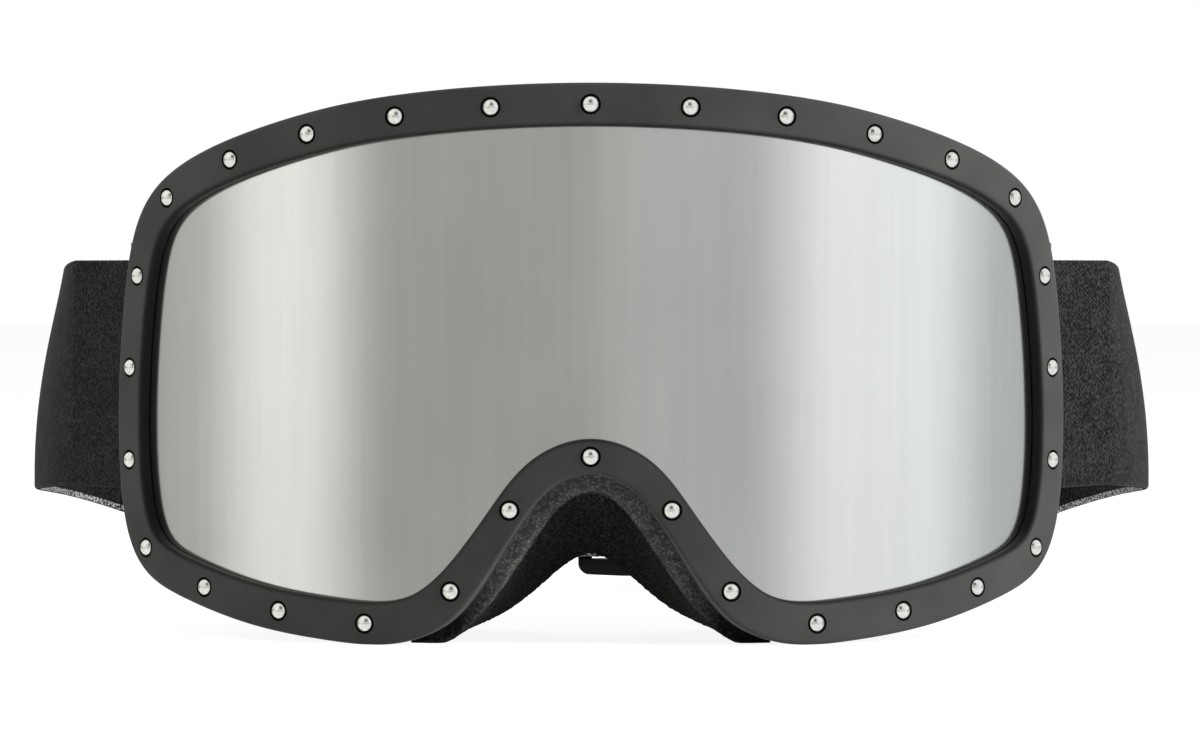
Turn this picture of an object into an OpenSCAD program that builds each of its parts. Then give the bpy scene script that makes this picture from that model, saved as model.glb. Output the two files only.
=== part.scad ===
// Wide cylindrical ski goggles with a studded front rim, a double lens, layered
// face foam and an elastic strap that is adjusted by a slider at the back.
// Millimetres. +Z is up, -Y is where the wearer looks, and the floor is z = 0.
// Heights are measured on the goggles standing on the two lobes of the rim.

/* [Overall] */
// Width across the outer edges of the rim
goggle_w = 180; // [172:1:190]
// Height of the rim, from the bottom of its lobes to its top edge
goggle_h = 103; // [94:1:112]
// Radius of the upright cylinder that the rim's front face lies on
wrap_r = 115; // [108:1:130]

/* [Front rim] */
// Width of the rim's band at the top and the bottom
rim_w = 8; // [7:0.1:9.5]
// How much narrower each half of the band gets at the temples
rim_side_less = 0.3; // [0:0.1:0.8]
// The same round the nose
rim_nose_less = 0.8; // [0:0.1:0.9]
// Thickness of the lip that lies in front of the lens
rim_lip_t = 2.3; // [1.6:0.1:3.5]
// How far the lens edge stops short of the line of studs, under the lip
lens_edge_in = 1.4; // [1.3:0.1:2]

/* [Studs] */
// Number of studs on the rim
stud_count = 30; // [20:2:40]
// Diameter of a stud's domed head
stud_d = 3.3; // [2.4:0.1:4]
// Height of the dome
stud_h = 1.2; // [0.6:0.1:1.6]
// Diameter of the pin under the head
stud_pin_d = 1.5; // [1:0.1:2]
// Length of the pin
stud_pin_l = 2.2; // [1.5:0.1:2.4]
// How far the studs between the corners are moved along the rim, towards the sides
stud_shift = 1.2; // [0:0.1:1.5]
// How far the studs at the sides move towards the top centre
stud_rise = 0.7; // [0:0.1:1]

/* [Lenses] */
// Thickness of the mirrored outer lens
outer_lens_t = 1.6; // [1.2:0.1:2]
// Thickness of the spacer between the lenses
gasket_t = 2.9; // [2:0.1:4]
// Width of the spacer
gasket_w = 5; // [4:0.1:7]
// Thickness of the clear inner lens
inner_lens_t = 0.8; // [0.6:0.1:1.2]

/* [Frame] */
// Length of the frame's side wall, front to back
wall_l = 20; // [16:1:26]
// Thickness of the side wall
wall_t = 2; // [1.6:0.1:2.6]
// Thickness of the front ledge and of the rear flange
flange_t = 2; // [1.5:0.1:3]
// Width of the rear flange
flange_w = 9.2; // [8:0.1:11]
// Length of one vent slot
vent_l = 12; // [8:1:13]
// Width of one vent slot
vent_w = 6; // [4:0.5:8]
// Thickness of the foam strips inside the vents
vent_foam_t = 2; // [1.5:0.1:3]

/* [Face foam] */
// Thickness of the firm foam layer glued to the flange
foam_base_t = 6; // [4:0.5:8]
// Thickness of the soft foam layer
foam_pad_t = 12; // [8:0.5:14]
// Thickness of the fleece that touches the face
fleece_t = 1.8; // [1:0.1:2.5]
// Thickness of the nose foam behind the rim
nose_foam_t = 3.5; // [2.5:0.1:4.5]

/* [Strap] */
// Width of the webbing
strap_w = 44; // [36:1:47]
// Thickness of the webbing
strap_t = 1.4; // [1:0.1:1.8]
// Height of the webbing's middle above the middle of the rim's sides
strap_rise = 2.6; // [0:0.1:5]
// How far inside the rim's outer edge the bars stand that hold the strap
bar_in = 4.4; // [3.8:0.1:4.8]
// Distance of those bars behind the front of the frame's sides
bar_behind = 10.4; // [9:0.1:13]
// Diameter of the bars
bar_d = 3; // [2:0.1:3.2]
// Distance of the strap's back behind the front of the rim
back_y = 183; // [170:1:210]
// How high the slider and the ring hang above the floor
back_lift = 3.3; // [0:0.1:8]

/* [Adjuster] */
// Length of the slider along the strap
slider_l = 28; // [22:1:34]
// Where the middle of the slider sits, to the right of the centre
slider_x = 11; // [0:1:12]
// Where the ring's left bar sits, to the right of the centre
ring_x = 40; // [38:1:42]
// Distance between the ring's two bars
ring_l = 12; // [10:1:14]
// Thickness of the rails above and below the webbing
rail_h = 3.4; // [2.5:0.1:4.5]
// Diameter of the round bars of the slider and the ring
small_bar_d = 2.4; // [1.8:0.1:3]

/* [Hidden] */
$fn = 64;

// Clearances: a seam between fixed pieces, a pin in its hole, soft beside hard,
// the lens edge in its groove, and a webbing loop round a bar
seam = 0.1;
pin_gap = 0.05;
soft_gap = 0.25;
lens_room = 0.3;
loop_gap = 0.1;
// How far two sewn layers press into each other
sewn_bite = 0.05;
// How far a cutter or a mask reaches past what it cuts
past = 1;
// How closely the slider's bars hold the webbing, and the room at the webbing's edges
slide_gap = 0.15;
edge_gap = 0.3;

// The outline, drawn on a flat grid before it is wrapped round the cylinder.
// Each row is one point from the top centre round the right half to the nose:
// [across, up] of the rim's middle line, then [across, up] of the face foam's,
// in percent of the rim line's half length and of its height.
outline = [
    [0, 100, 0, 96.8], [17, 99.5, 16.5, 96.3], [32, 98.3, 31.1, 95.1],
    [48.1, 96.2, 46.6, 92.8], [67.1, 91.3, 64.6, 87.9], [77.7, 87.8, 74.6, 84.1],
    [84.9, 84.6, 81.6, 80.4], [90.8, 80.8, 86.9, 76.4], [95.6, 74.2, 91.1, 70.1],
    [98.3, 61.3, 94.1, 59.1], [100, 44.3, 95.3, 44.3], [99.9, 29.5, 95.1, 30.6],
    [97.9, 17.2, 92.8, 18.7], [92.9, 10.6, 88.3, 11.6], [84.2, 7.5, 80.1, 7],
    [66.1, 2.3, 64.1, 0.9], [49.1, 0.3, 49.1, 0], [39.8, -0.5, 40, 0],
    [31.5, 1.2, 31.5, 0.6], [25.9, 6, 25, 3.2], [21.2, 12.4, 18.5, 6],
    [14.3, 23.2, 12.2, 11.4], [9, 30, 6.5, 16.2], [0, 33.5, 0, 18.7]
];

// Half of the rim line's length on the cylinder, and its height
half_arc = asin(goggle_w / 2 / wrap_r) * wrap_r * PI / 180 - rim_w / 2 + rim_side_less;
line_h = goggle_h - rim_w;

// Depths below the rim's face, square to the cylinder
lens_d = rim_lip_t + seam;
gasket_d = lens_d + outer_lens_t;
inner_d = gasket_d + gasket_t;
rim_rear_d = inner_d + inner_lens_t;
frame_d = rim_rear_d + seam;

// The roundings along the rim's inner and outer edges, and its draft at the rear
rim_inner_round = 1;
rim_outer_round = 0.9;
rim_draft = 0.4;

// The frame's wall: offsets from the outline at its front and at its rear
wall_out_front = 2.2;
wall_out_rear = 4.2;
ledge_in = 5;
// Where the vent slots lie, in degrees round the cylinder from the middle
top_vents = [5, 14.5, 24, 33];
low_vents = [20, 27, 34];
// How high the lower slots cut, and how far below the rim's top the upper ones start
low_vent_top = 16;
top_vent_depth = 24;
// The stretch of the wall, front to back, that the vents' foam strips cover
vent_foam_from = 0.2;
vent_foam_to = 0.8;

// Face foam, counted backwards from the front of the frame
flange_rear = wall_l + 2 * flange_t;
base_rear = flange_rear + foam_base_t;
pad_rear = base_rear + foam_pad_t;
fleece_rear = pad_rear + fleece_t;
pad_bulge = 0.5;
fleece_round = 0.8;
// The nose foam bulges behind the rim and thins to a flap at the rear
nose_bulge = 0.4;
nose_bulge_at = 2;
nose_flap_t = 0.8;
nose_end_gap = 0.2;

// Stations round the sweeps, and the steps of the length table on each outline row
stations = 4 * stud_count;
table_steps = 8;

// Height of the slider and the ring, and of the strap's centre at the back
back_rail_h = strap_w + 2 * (rail_h + edge_gap);
back_z = back_lift + back_rail_h / 2;
// Radius of the webbing's middle line round a small bar, and the line of the bars
small_loop_r = small_bar_d / 2 + loop_gap + strap_t / 2;
ring_y = back_y - small_loop_r;
tail_y = back_y - 2 * small_loop_r;
// Where the bars stand, how high the strap's middle is there, and where its straight
// back begins
side_a = half_arc / wrap_r * 180 / PI;
bar_x = goggle_w / 2 - bar_in;
bar_y = wrap_r - (wrap_r - frame_d) * cos(side_a) + bar_behind;
side_z = 0.443;
strap_z = rim_w / 2 + side_z * line_h + strap_rise;
straight_x = bar_x - 19.4;
// The slider: its middle bar, its outer bars and the corner radius of its outline
mid_bar_y = back_y - strap_t - slide_gap - small_loop_r;
outer_bar_y = back_y + strap_t / 2 + slide_gap;
outer_bar_t = 2.2;
outer_bar_w = 3;
slider_corner = 2.4;
// Half the width of the slider's raised middle, and the length of the tail's sewn end
slider_nose = 4.5;
sewn_l = 11;
// The ring's rails: their ends past its bars, half their thickness, and the webbing's
// end that stays with the ring
ring_end = 2;
ring_half_t = 1.7;
stub_l = 4;
// Where the right webbing's end leaves the ring's bar and where it lies on its other half
merge_from = 1;
merge_to = 5;

// The way that the strap leaves its bar: angle from +X, length of the doubled end
leave_a = 57;
end_l = 24;
fold_l = 21;
join_l = 8;
loop_r = bar_d / 2 + loop_gap + strap_t / 2;
// How far the strap leans out at its widest, how far its middle bulges out there, and the
// part of its drop that goes evenly with the way back
lean_a = 11;
side_bow = 2.4;
even_drop = 0.4;
// The strap's middle line between the doubled end and the straight back:
// [out from the bar, share of the way from the bar to the back]
side_line = [[21.2, 0.32], [22.4, 0.5], [17.6, 0.73], [9.8, 0.87], [-1.9, 0.957]];
side_steps = 6;
// How many stretches of that line belong to the side, before the corner
side_stretches = 3;

// The lugs that hold a bar
lug_t = 2.8;
lug_r = 2.7;
lug_gap = 0.4;

// Half of the depth, so that the origin lies under the middle of the goggles
front_most = -stud_h;
back_most = outer_bar_y + outer_bar_t;
shift_y = -(front_most + back_most) / 2;

// Functions of the outline

// The closed outline as flat points: column 0 is the rim's, column 2 the foam's
function grid(row, col) = [
    row[col] / 100 * half_arc,
    rim_w / 2 + row[col + 1] / 100 * line_h
];
function mirrored(p) = [-p[0], p[1]];
function closed_line(col) = let (n = len(outline)) concat(
    [for (row = outline) grid(row, col)],
    [for (i = [n - 2:-1:1]) mirrored(grid(outline[i], col))]
);
rim_line = closed_line(0);
face_line = closed_line(2);
loop_n = len(rim_line);

// A uniform cubic B-spline on a closed list of points, and its direction
function blend4(p, f) =
    (p[0] * pow(1 - f, 3) + p[1] * (3 * pow(f, 3) - 6 * f * f + 4)
    + p[2] * (-3 * pow(f, 3) + 3 * f * f + 3 * f + 1) + p[3] * pow(f, 3)) / 6;
function on_line(line, u) = let (n = len(line), i = floor(u), f = u - i)
    blend4([for (k = [-1:2]) line[(i + k + n) % n]], f);
function out_dir(line, u) = let (
    d = on_line(line, u + 0.05) - on_line(line, u + loop_n - 0.05)
) [-d[1], d[0]] / norm(d);

// Length along the rim line against the outline's own count, for even spacing
table_u = [for (k = [0:loop_n * table_steps]) k / table_steps];
table_p = [for (u = table_u) on_line(rim_line, u)];
function running(k, sum, list) = k >= len(table_p) ? list
    : let (next = sum + norm(table_p[k] - table_p[k - 1]))
    running(k + 1, next, concat(list, [[next, table_u[k]]]));
length_table = running(1, 0, [[0, 0]]);
rim_length = length_table[len(length_table) - 1][0];

// One record per station: rim point, rim direction, face point, face direction
function station(u) = [
    on_line(rim_line, u), out_dir(rim_line, u),
    on_line(face_line, u), out_dir(face_line, u)
];
ring_stations = [
    for (i = [0:stations - 1]) station(lookup(i * rim_length / stations, length_table))
];

// Where the middle of a stud lies on the rim's line
function stud_place(i) = let (
    turn = 360 * i / stud_count,
    along = i * rim_length / stud_count + stud_shift * sin(2 * turn) - stud_rise * sin(turn)
) on_line(rim_line, lookup(along, length_table));

// How near a point of the line lies to the nose arch: 1 on it, 0 from the cheeks on
function nose_share(p) = let (f = min(1, max(0, (30 - abs(p[0])) / 14)))
    p[1] > line_h / 2 ? 0 : f * f * (3 - 2 * f);

// Half the width of the rim's band at a point of its line
function half_w(p) = rim_w / 2 - rim_side_less * pow(min(1, abs(p[0]) / half_arc), 3)
    - rim_nose_less * nose_share(p);

// A flat point wrapped on the cylinder, a depth below its face and a way back from it
function wrapped(p, depth, back) = let (a = p[0] / wrap_r * 180 / PI, r = wrap_r - depth)
    [r * sin(a), wrap_r - r * cos(a) + back, max(0, p[1])];

// A profile point is [share of the way to the face line, share of the band's half
// width, offset outwards, depth, distance back]
function placed(st, q) = let (
    c = st[0] * (1 - q[0]) + st[2] * q[0],
    d = st[1] * (1 - q[0]) + st[3] * q[0],
    o = q[1] * half_w(st[0]) + q[2]
) wrapped(c + d / norm(d) * o, q[3], q[4]);
function rows(list, profile) = [for (st = list) [for (q = profile) placed(st, q)]];

// Where the lens outline lies above or below a distance across
function edge_points(from, to, step, a) = [
    for (i = [from:step:to]) let (st = ring_stations[i]) st[0] - st[1] * a
];
half_n = stations / 2;
function widest(a) = max([for (p = edge_points(0, half_n, 1, a)) p[0]]);
function widest_at(a) = let (w = widest(a), e = edge_points(0, half_n, 1, a))
    [for (i = [0:half_n]) if (e[i][0] == w) i][0];

// Modules that several pieces share

// Moves the pieces back so that the origin lies under the middle
module in_place() {
    translate([0, shift_y, 0]) children();
}

// A solid swept through rows of points; closed ones run round to their start.
// Each side is two triangles, and other_way parts the sides along the other diagonal,
// so that a piece follows the neighbour that it lies on. A bent strip's rows run down one
// face and up the other, and its ends close from face to face
module sweep(list, closed, other_way = false, bent = false) {
    n = len(list);
    m = len(list[0]);
    last = closed ? n - 1 : n - 2;
    sides = [
        for (i = [0:last], j = [0:m - 1]) let (
            a = i * m + j, b = i * m + (j + 1) % m,
            c = ((i + 1) % n) * m + j, d = ((i + 1) % n) * m + (j + 1) % m
        ) each other_way ? [[a, b, c], [b, d, c]] : [[a, b, d], [a, d, c]]
    ];
    e = (n - 1) * m;
    caps = closed ? [] : bent ? [
        for (a = [0:m / 2 - 2]) let (b = a + 1, c = m - 2 - a, d = m - 1 - a)
            each [[b, a, d], [c, b, d], [e + a, e + b, e + d], [e + b, e + c, e + d]]
    ] : [
        for (j = [1:m - 2]) each [[0, j + 1, j], [e, e + j, e + j + 1]]
    ];
    polyhedron([for (r = list) each r], concat(sides, caps), convexity = 8);
}

module ring_sweep(profile, other_way = false) {
    sweep(rows(ring_stations, profile), true, other_way);
}

// A strip of a sweep between two stations, given as shares of the way round from the top
module part_sweep(from, to, profile, other_way = false) {
    list = [
        for (k = [round(from * stations):round(to * stations)])
            ring_stations[(k + stations) % stations]
    ];
    sweep(rows(list, profile), false, other_way);
}

// A sheet that fills the outline, cut in by a and lying between two depths
module lens_sheet(a, depth, thick) {
    w = widest(a);
    k = widest_at(a);
    upper = [for (p = edge_points(0, k, 1, a)) [p[0], p[1]]];
    lower = [for (p = edge_points(half_n, k, -1, a)) [p[0], p[1]]];
    columns = 40;
    list = [
        for (c = [-columns:columns]) let (
            s = w * sin(90 * c / columns) * 0.9999,
            top = lookup(abs(s), upper),
            low = lookup(abs(s), lower)
        ) [
            wrapped([s, low], depth, 0), wrapped([s, top], depth, 0),
            wrapped([s, top], depth + thick, 0), wrapped([s, low], depth + thick, 0)
        ]
    ];
    sweep(list, false);
}

// Stands children upright on the rim's face over a point of the outline
module on_rim(p, depth) {
    a = p[0] / wrap_r * 180 / PI;
    translate(wrapped(p, depth, 0)) rotate([0, 0, a]) rotate([90, 0, 0]) children();
}

module each_stud(depth) {
    for (i = [0:stud_count - 1]) {
        on_rim(stud_place(i), depth) children();
    }
}

// The goggles' front

// The moulded bezel: a lip over the lens and a skirt behind it, drilled for studs
module front_rim() {
    // How far a corner rounded by 1 lies from its two sides, halfway round
    corner = 1 - cos(45);
    a = rim_inner_round;
    b = rim_outer_round;
    profile = [
        [0, -1, 0, rim_lip_t, 0], [0, -1, 0, a, 0], [0, -1, corner * a, corner * a, 0],
        [0, -1, a, 0, 0], [0, 1, -b, 0, 0], [0, 1, -corner * b, corner * b, 0],
        [0, 1, 0, b, 0], [0, 1, -rim_draft, rim_rear_d, 0],
        [0, 0, -lens_edge_in + lens_room, rim_rear_d, 0],
        [0, 0, -lens_edge_in + lens_room, rim_lip_t, 0]
    ];
    color("#3c3c3a") difference() {
        ring_sweep(profile);
        each_stud(stud_pin_l + seam) cylinder(
            d = stud_pin_d + 2 * pin_gap, h = stud_pin_l + 2 * stud_h
        );
    }
}

// Domed steel studs with a pin in the rim
module rim_studs() {
    // The dome is a slice of a ball with the head's diameter and height
    ball_r = (pow(stud_d / 2, 2) + pow(stud_h, 2)) / (2 * stud_h);
    color("#d8d6d0") each_stud(stud_pin_l) union() {
        cylinder(d = stud_pin_d, h = stud_pin_l + stud_h / 2);
        translate([0, 0, stud_pin_l]) intersection() {
            translate([0, 0, stud_h - ball_r]) sphere(r = ball_r);
            cylinder(d = stud_d + 1, h = stud_h + 1);
        }
    }
}

module outer_lens() {
    color("#b9bab6") lens_sheet(lens_edge_in, lens_d, outer_lens_t - seam);
}

// The foam spacer that keeps the two lenses apart
module lens_gasket() {
    outer = -lens_edge_in;
    inner = -lens_edge_in - gasket_w;
    color("#2a2a2a") ring_sweep([
        [0, 0, outer, gasket_d, 0], [0, 0, outer, inner_d - seam, 0],
        [0, 0, inner, inner_d - seam, 0], [0, 0, inner, gasket_d, 0]
    ]);
}

module inner_lens() {
    color("#dfe6ea") lens_sheet(lens_edge_in, inner_d, inner_lens_t);
}

// The frame

// One vent slot, at an angle round the cylinder and between two heights
module vent_slot(a, low, high) {
    r = wrap_r - frame_d;
    translate([r * sin(a), wrap_r - r * cos(a) + wall_l / 2, low]) rotate([0, 0, a]) {
        translate([-(vent_l - vent_w) / 2, -vent_w / 2, 0]) {
            cube([vent_l - vent_w, vent_w, high - low]);
        }
        for (side = [-1, 1]) {
            translate([side * (vent_l - vent_w) / 2, 0, 0]) cylinder(d = vent_w, h = high - low);
        }
    }
}

// Height and distance across of the middle of the side wall, in line with the bars
function beside_bar(st) = let (
    front = placed(st, [0, 0, 0, frame_d, 0])[1],
    f = min(1, max(0, (bar_y - front) / wall_l)),
    out = wall_out_front * (1 - f) + wall_out_rear * f - wall_t / 2,
    p = placed(st, [f, 0, out, frame_d, f * wall_l])
) [p[2], p[0]];
wall_side = [
    for (i = [half_n:-1:0]) if (ring_stations[i][0][0] > 0.8 * half_arc)
        beside_bar(ring_stations[i])
];

// A lug that grows out of the side wall and ends round the bar
module lug(z) {
    reach = bar_x - lookup(z + lug_t / 2, wall_side);
    translate([bar_x, bar_y, z]) cylinder(r = lug_r, h = lug_t);
    translate([bar_x - reach, bar_y - lug_r, z]) cube([reach, 2 * lug_r, lug_t]);
}

lug_low = strap_z - strap_w / 2 - lug_gap - lug_t;
lug_high = strap_z + strap_w / 2 + lug_gap;

// The side wall with its front ledge, rear flange, vents and strap lugs
module frame_body() {
    profile = [
        [0, 0, -ledge_in, frame_d, 0], [0, 0, wall_out_front, frame_d, 0],
        [1, 0, wall_out_rear, frame_d, wall_l], [1, 0, flange_w / 2, frame_d, wall_l + flange_t],
        [1, 0, flange_w / 2, frame_d, flange_rear], [1, 0, -flange_w / 2, frame_d, flange_rear],
        [1, 0, -flange_w / 2, frame_d, wall_l + flange_t],
        [1, 0, wall_out_rear - wall_t, frame_d, wall_l],
        [flange_t / wall_l, 0, wall_out_front - wall_t, frame_d, flange_t],
        [flange_t / wall_l, 0, -ledge_in, frame_d, flange_t]
    ];
    color("#2f2f2e") difference() {
        union() {
            ring_sweep(profile);
            for (side = [0, 1]) mirror([side, 0, 0]) {
                lug(lug_low);
                lug(lug_high);
            }
        }
        for (side = [0, 1]) mirror([side, 0, 0]) {
            for (a = top_vents) vent_slot(a, goggle_h - top_vent_depth, goggle_h + past);
            for (a = low_vents) vent_slot(a, -past, low_vent_top);
            translate([bar_x, bar_y, lug_low - past]) {
                cylinder(d = bar_d + 2 * pin_gap, h = lug_high - lug_low + lug_t + 2 * past);
            }
        }
    }
}

// A foam strip inside the wall, between two shares of the way round
module vent_strip(from, to) {
    near = vent_foam_from;
    far = vent_foam_to;
    // The wall's inside runs from the ledge to the flange
    ledge = flange_t / wall_l;
    front_in = wall_out_front - wall_t;
    slope = (wall_out_rear - wall_out_front) / (1 - ledge);
    near_in = front_in + slope * (near - ledge) - soft_gap;
    far_in = front_in + slope * (far - ledge) - soft_gap;
    color("#202020") part_sweep(from, to, [
        [near, 0, near_in, frame_d, near * wall_l],
        [far, 0, far_in, frame_d, far * wall_l],
        [far, 0, far_in - vent_foam_t, frame_d, far * wall_l],
        [near, 0, near_in - vent_foam_t, frame_d, near * wall_l]
    ]);
}

module top_vent_foam() {
    vent_strip(-0.15, 0.15);
}

module lower_vent_foam_right() {
    vent_strip(0.308, 0.4);
}

module lower_vent_foam_left() {
    mirror([1, 0, 0]) lower_vent_foam_right();
}

// The face foam. Where two layers meet, their facets are parted along the same diagonals

module face_foam_base() {
    h = flange_w / 2;
    color("#262626") ring_sweep([
        [1, 0, h, frame_d, flange_rear + seam], [1, 0, h, frame_d, base_rear],
        [1, 0, -h, frame_d, base_rear], [1, 0, -h, frame_d, flange_rear + seam]
    ], true);
}

// The soft layer swells a little between its glued faces
module face_foam_pad() {
    h = flange_w / 2;
    mid = (base_rear + pad_rear) / 2;
    color("#1d1d1d") ring_sweep([
        [1, 0, h, frame_d, base_rear + seam], [1, 0, h + pad_bulge, frame_d, mid],
        [1, 0, h, frame_d, pad_rear], [1, 0, -h, frame_d, pad_rear],
        [1, 0, -h - pad_bulge, frame_d, mid], [1, 0, -h, frame_d, base_rear + seam]
    ]);
}

module face_fleece() {
    h = flange_w / 2;
    color("#151515") ring_sweep([
        [1, 0, h, frame_d, pad_rear + seam], [1, 0, h - fleece_round, frame_d, fleece_rear],
        [1, 0, -h + fleece_round, frame_d, fleece_rear], [1, 0, -h, frame_d, pad_rear + seam]
    ], true);
}

// The foam under the nose arch, thick behind the rim and thin at the face foam
module nose_foam() {
    front_in = wall_out_front + soft_gap;
    rear_in = wall_out_rear + soft_gap;
    outside = front_in + nose_foam_t;
    start = nose_end_gap;
    end = wall_l - nose_end_gap;
    color("#222222") part_sweep(0.408, 0.592, [
        [0, 0, front_in, frame_d, start], [0, 0, outside, frame_d, start],
        [nose_bulge_at / wall_l, 0, outside + nose_bulge, frame_d, nose_bulge_at],
        [1, 0, rear_in + nose_flap_t, frame_d, end], [1, 0, rear_in, frame_d, end]
    ], true);
}

// The strap

// A flat strip of webbing along a plan line, as a polygon
function side_dir(line, i) = let (
    d = line[min(i + 1, len(line) - 1)] - line[max(i - 1, 0)]
) [d[1], -d[0]] / norm(d);
module strip(line, t) {
    n = len(line);
    polygon(concat(
        [for (i = [0:n - 1]) line[i] + side_dir(line, i) * t / 2],
        [for (i = [n - 1:-1:0]) line[i] - side_dir(line, i) * t / 2]
    ));
}

bar_p = [bar_x, bar_y];
leave = [cos(leave_a), sin(leave_a)];
leave_out = [sin(leave_a), -cos(leave_a)];
end_p = bar_p + leave_out * loop_r + leave * end_l;

module strap_bar() {
    color("#8e8f90") translate([bar_x, bar_y, lug_low]) {
        cylinder(d = bar_d, h = lug_high - lug_low + lug_t);
    }
}

// The webbing's sewn end: round the bar and back along its own inside
module strap_end() {
    outer = bar_p + leave_out * loop_r;
    inner = bar_p - leave_out * loop_r;
    beside = outer - leave_out * (strap_t - sewn_bite);
    color("#242223") translate([0, 0, strap_z - strap_w / 2]) linear_extrude(strap_w) {
        difference() {
            union() {
                translate(bar_p) circle(r = loop_r + strap_t / 2);
                strip([outer, end_p], strap_t);
                strip([inner, beside + leave * join_l, beside + leave * fold_l], strap_t);
            }
            translate(bar_p) circle(r = loop_r - strap_t / 2);
        }
    }
}

// A Catmull-Rom curve through the side band's points
function through(p, f) = 0.5 * (2 * p[1] + f * (p[2] - p[0])
    + f * f * (2 * p[0] - 5 * p[1] + 4 * p[2] - p[3])
    + pow(f, 3) * (3 * p[1] - p[0] - 3 * p[2] + p[3]));
side_points = concat(
    [end_p - leave * end_l, end_p],
    [for (q = side_line) [bar_x + q[0], bar_y + q[1] * (back_y - bar_y)]],
    [[straight_x, back_y], [straight_x - end_l, back_y]]
);
side_plan = concat([
    for (i = [1:len(side_points) - 3], k = [0:side_steps - 1])
        through([for (m = [-1:2]) side_points[i + m]], k / side_steps)
], [[straight_x, back_y]]);
side_last = len(side_plan) - 1;
corner_first = side_stretches * side_steps;

function way_back(y) = min(1, max(0, (y - end_p[1]) / (back_y - end_p[1])));
function hang(y) = even_drop * way_back(y) + (1 - even_drop) * pow(way_back(y), 7);
function strap_height(y) = strap_z + (back_z - strap_z) * hang(y);
function lean(y) = lean_a * sin(180 * way_back(y));
function bow(y) = side_bow * sin(180 * way_back(y));

// The elastic band hangs lower towards the back, leans out at the bottom and bulges
module strap_band(from, to) {
    list = [
        for (i = [from:to]) let (
            p = side_plan[i],
            o = i == 0 ? leave_out : i == side_last ? [0, 1] : side_dir(side_plan, i),
            a = lean(p[1]),
            up = [-o[0] * sin(a), -o[1] * sin(a), cos(a)] * strap_w / 2,
            thick = [o[0] * cos(a), o[1] * cos(a), sin(a)] * strap_t / 2,
            c = [p[0], p[1], strap_height(p[1])],
            bulge = bow(p[1]) * 2 / strap_t
        ) concat(
            [for (v = [3:-1:-3]) c + up * v / 3 + thick * (bulge * (1 - v * v / 9) - 1)],
            [for (v = [-3:3]) c + up * v / 3 + thick * (bulge * (1 - v * v / 9) + 1)]
        )
    ];
    color("#242223") sweep(list, false, bent = true);
}

module strap_side() {
    strap_band(0, corner_first);
}

// The corner is the stretch that bends when the strap swings
module strap_corner() {
    strap_band(corner_first, side_last);
}

// A loop of webbing round an upright bar at the back
module small_loop(x, y) {
    difference() {
        translate([x, y]) circle(r = small_loop_r + strap_t / 2);
        translate([x, y]) circle(r = small_loop_r - strap_t / 2);
    }
}

module back_webbing() {
    color("#242223") translate([0, 0, back_z - strap_w / 2]) linear_extrude(strap_w) children();
}

// The left webbing runs along the back, turns round the ring's left bar and returns
module strap_back_left() {
    r = small_loop_r + strap_t;
    back_webbing() {
        strip([[-straight_x, back_y], [ring_x, back_y]], strap_t);
        intersection() {
            small_loop(ring_x, ring_y);
            translate([ring_x, ring_y - r]) square([r, 2 * r]);
        }
        strip([[ring_x, tail_y], [ring_x - stub_l, tail_y]], strap_t);
    }
}

// The right webbing ends in a sewn loop round the ring's right bar
module strap_back_right() {
    x = ring_x + ring_l;
    beside = back_y - strap_t + sewn_bite;
    r = small_loop_r + strap_t;
    back_webbing() {
        strip([[x, back_y], [straight_x, back_y]], strap_t);
        intersection() {
            small_loop(x, ring_y);
            translate([x - r, ring_y - r]) square([r, 2 * r]);
        }
        strip([
            [x, tail_y], [x + merge_from, tail_y], [x + merge_to, beside],
            [straight_x - 1, beside]
        ], strap_t);
    }
}

// The returning webbing between the ring and the slider
module strap_tail() {
    back_webbing() {
        strip([[slider_x + sewn_l, tail_y], [ring_x - stub_l, tail_y]], strap_t);
    }
}

// The webbing's end, sewn round the slider's middle bar
module tail_loop() {
    back_webbing() {
        small_loop(slider_x, mid_bar_y);
        difference() {
            translate([slider_x, tail_y - strap_t / 2]) square([sewn_l, 2 * strap_t]);
            translate([slider_x, mid_bar_y]) circle(r = small_loop_r);
        }
    }
}

// The adjuster

module upright_bar(x, y) {
    translate([x, y, rail_h / 2]) cylinder(d = small_bar_d, h = back_rail_h - rail_h);
}

// The slider's outer bars lie behind the webbing and its middle bar in front of it
module slider() {
    half = slider_l / 2;
    nose = slider_nose;
    inner_y = mid_bar_y - small_loop_r - strap_t / 2;
    rear_y = outer_bar_y + outer_bar_t;
    plan = [
        [-half, outer_bar_y], [-nose, inner_y], [nose, inner_y],
        [half, outer_bar_y], [half, rear_y], [-half, rear_y]
    ];
    color("#161616") translate([slider_x, 0, back_lift]) intersection() {
        union() {
            for (z = [0, back_rail_h - rail_h]) {
                translate([0, 0, z]) linear_extrude(rail_h) polygon(plan);
            }
            for (x = [-half, half - outer_bar_w]) {
                translate([x, outer_bar_y, 0]) cube([outer_bar_w, outer_bar_t, back_rail_h]);
            }
            upright_bar(0, mid_bar_y);
        }
        translate([0, rear_y + past, 0]) rotate([90, 0, 0]) {
            linear_extrude(rear_y - inner_y + 2 * past) {
                round_box(-half, half, back_rail_h, slider_corner);
            }
        }
    }
}

// A flat box from z = 0 up with round corners
module round_box(left, right, high, r) {
    for (x = [left + r, right - r], z = [r, high - r]) translate([x, z]) circle(r = r);
    translate([left + r, 0]) square([right - left - 2 * r, high]);
    translate([left, r]) square([right - left, high - 2 * r]);
}

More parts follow.
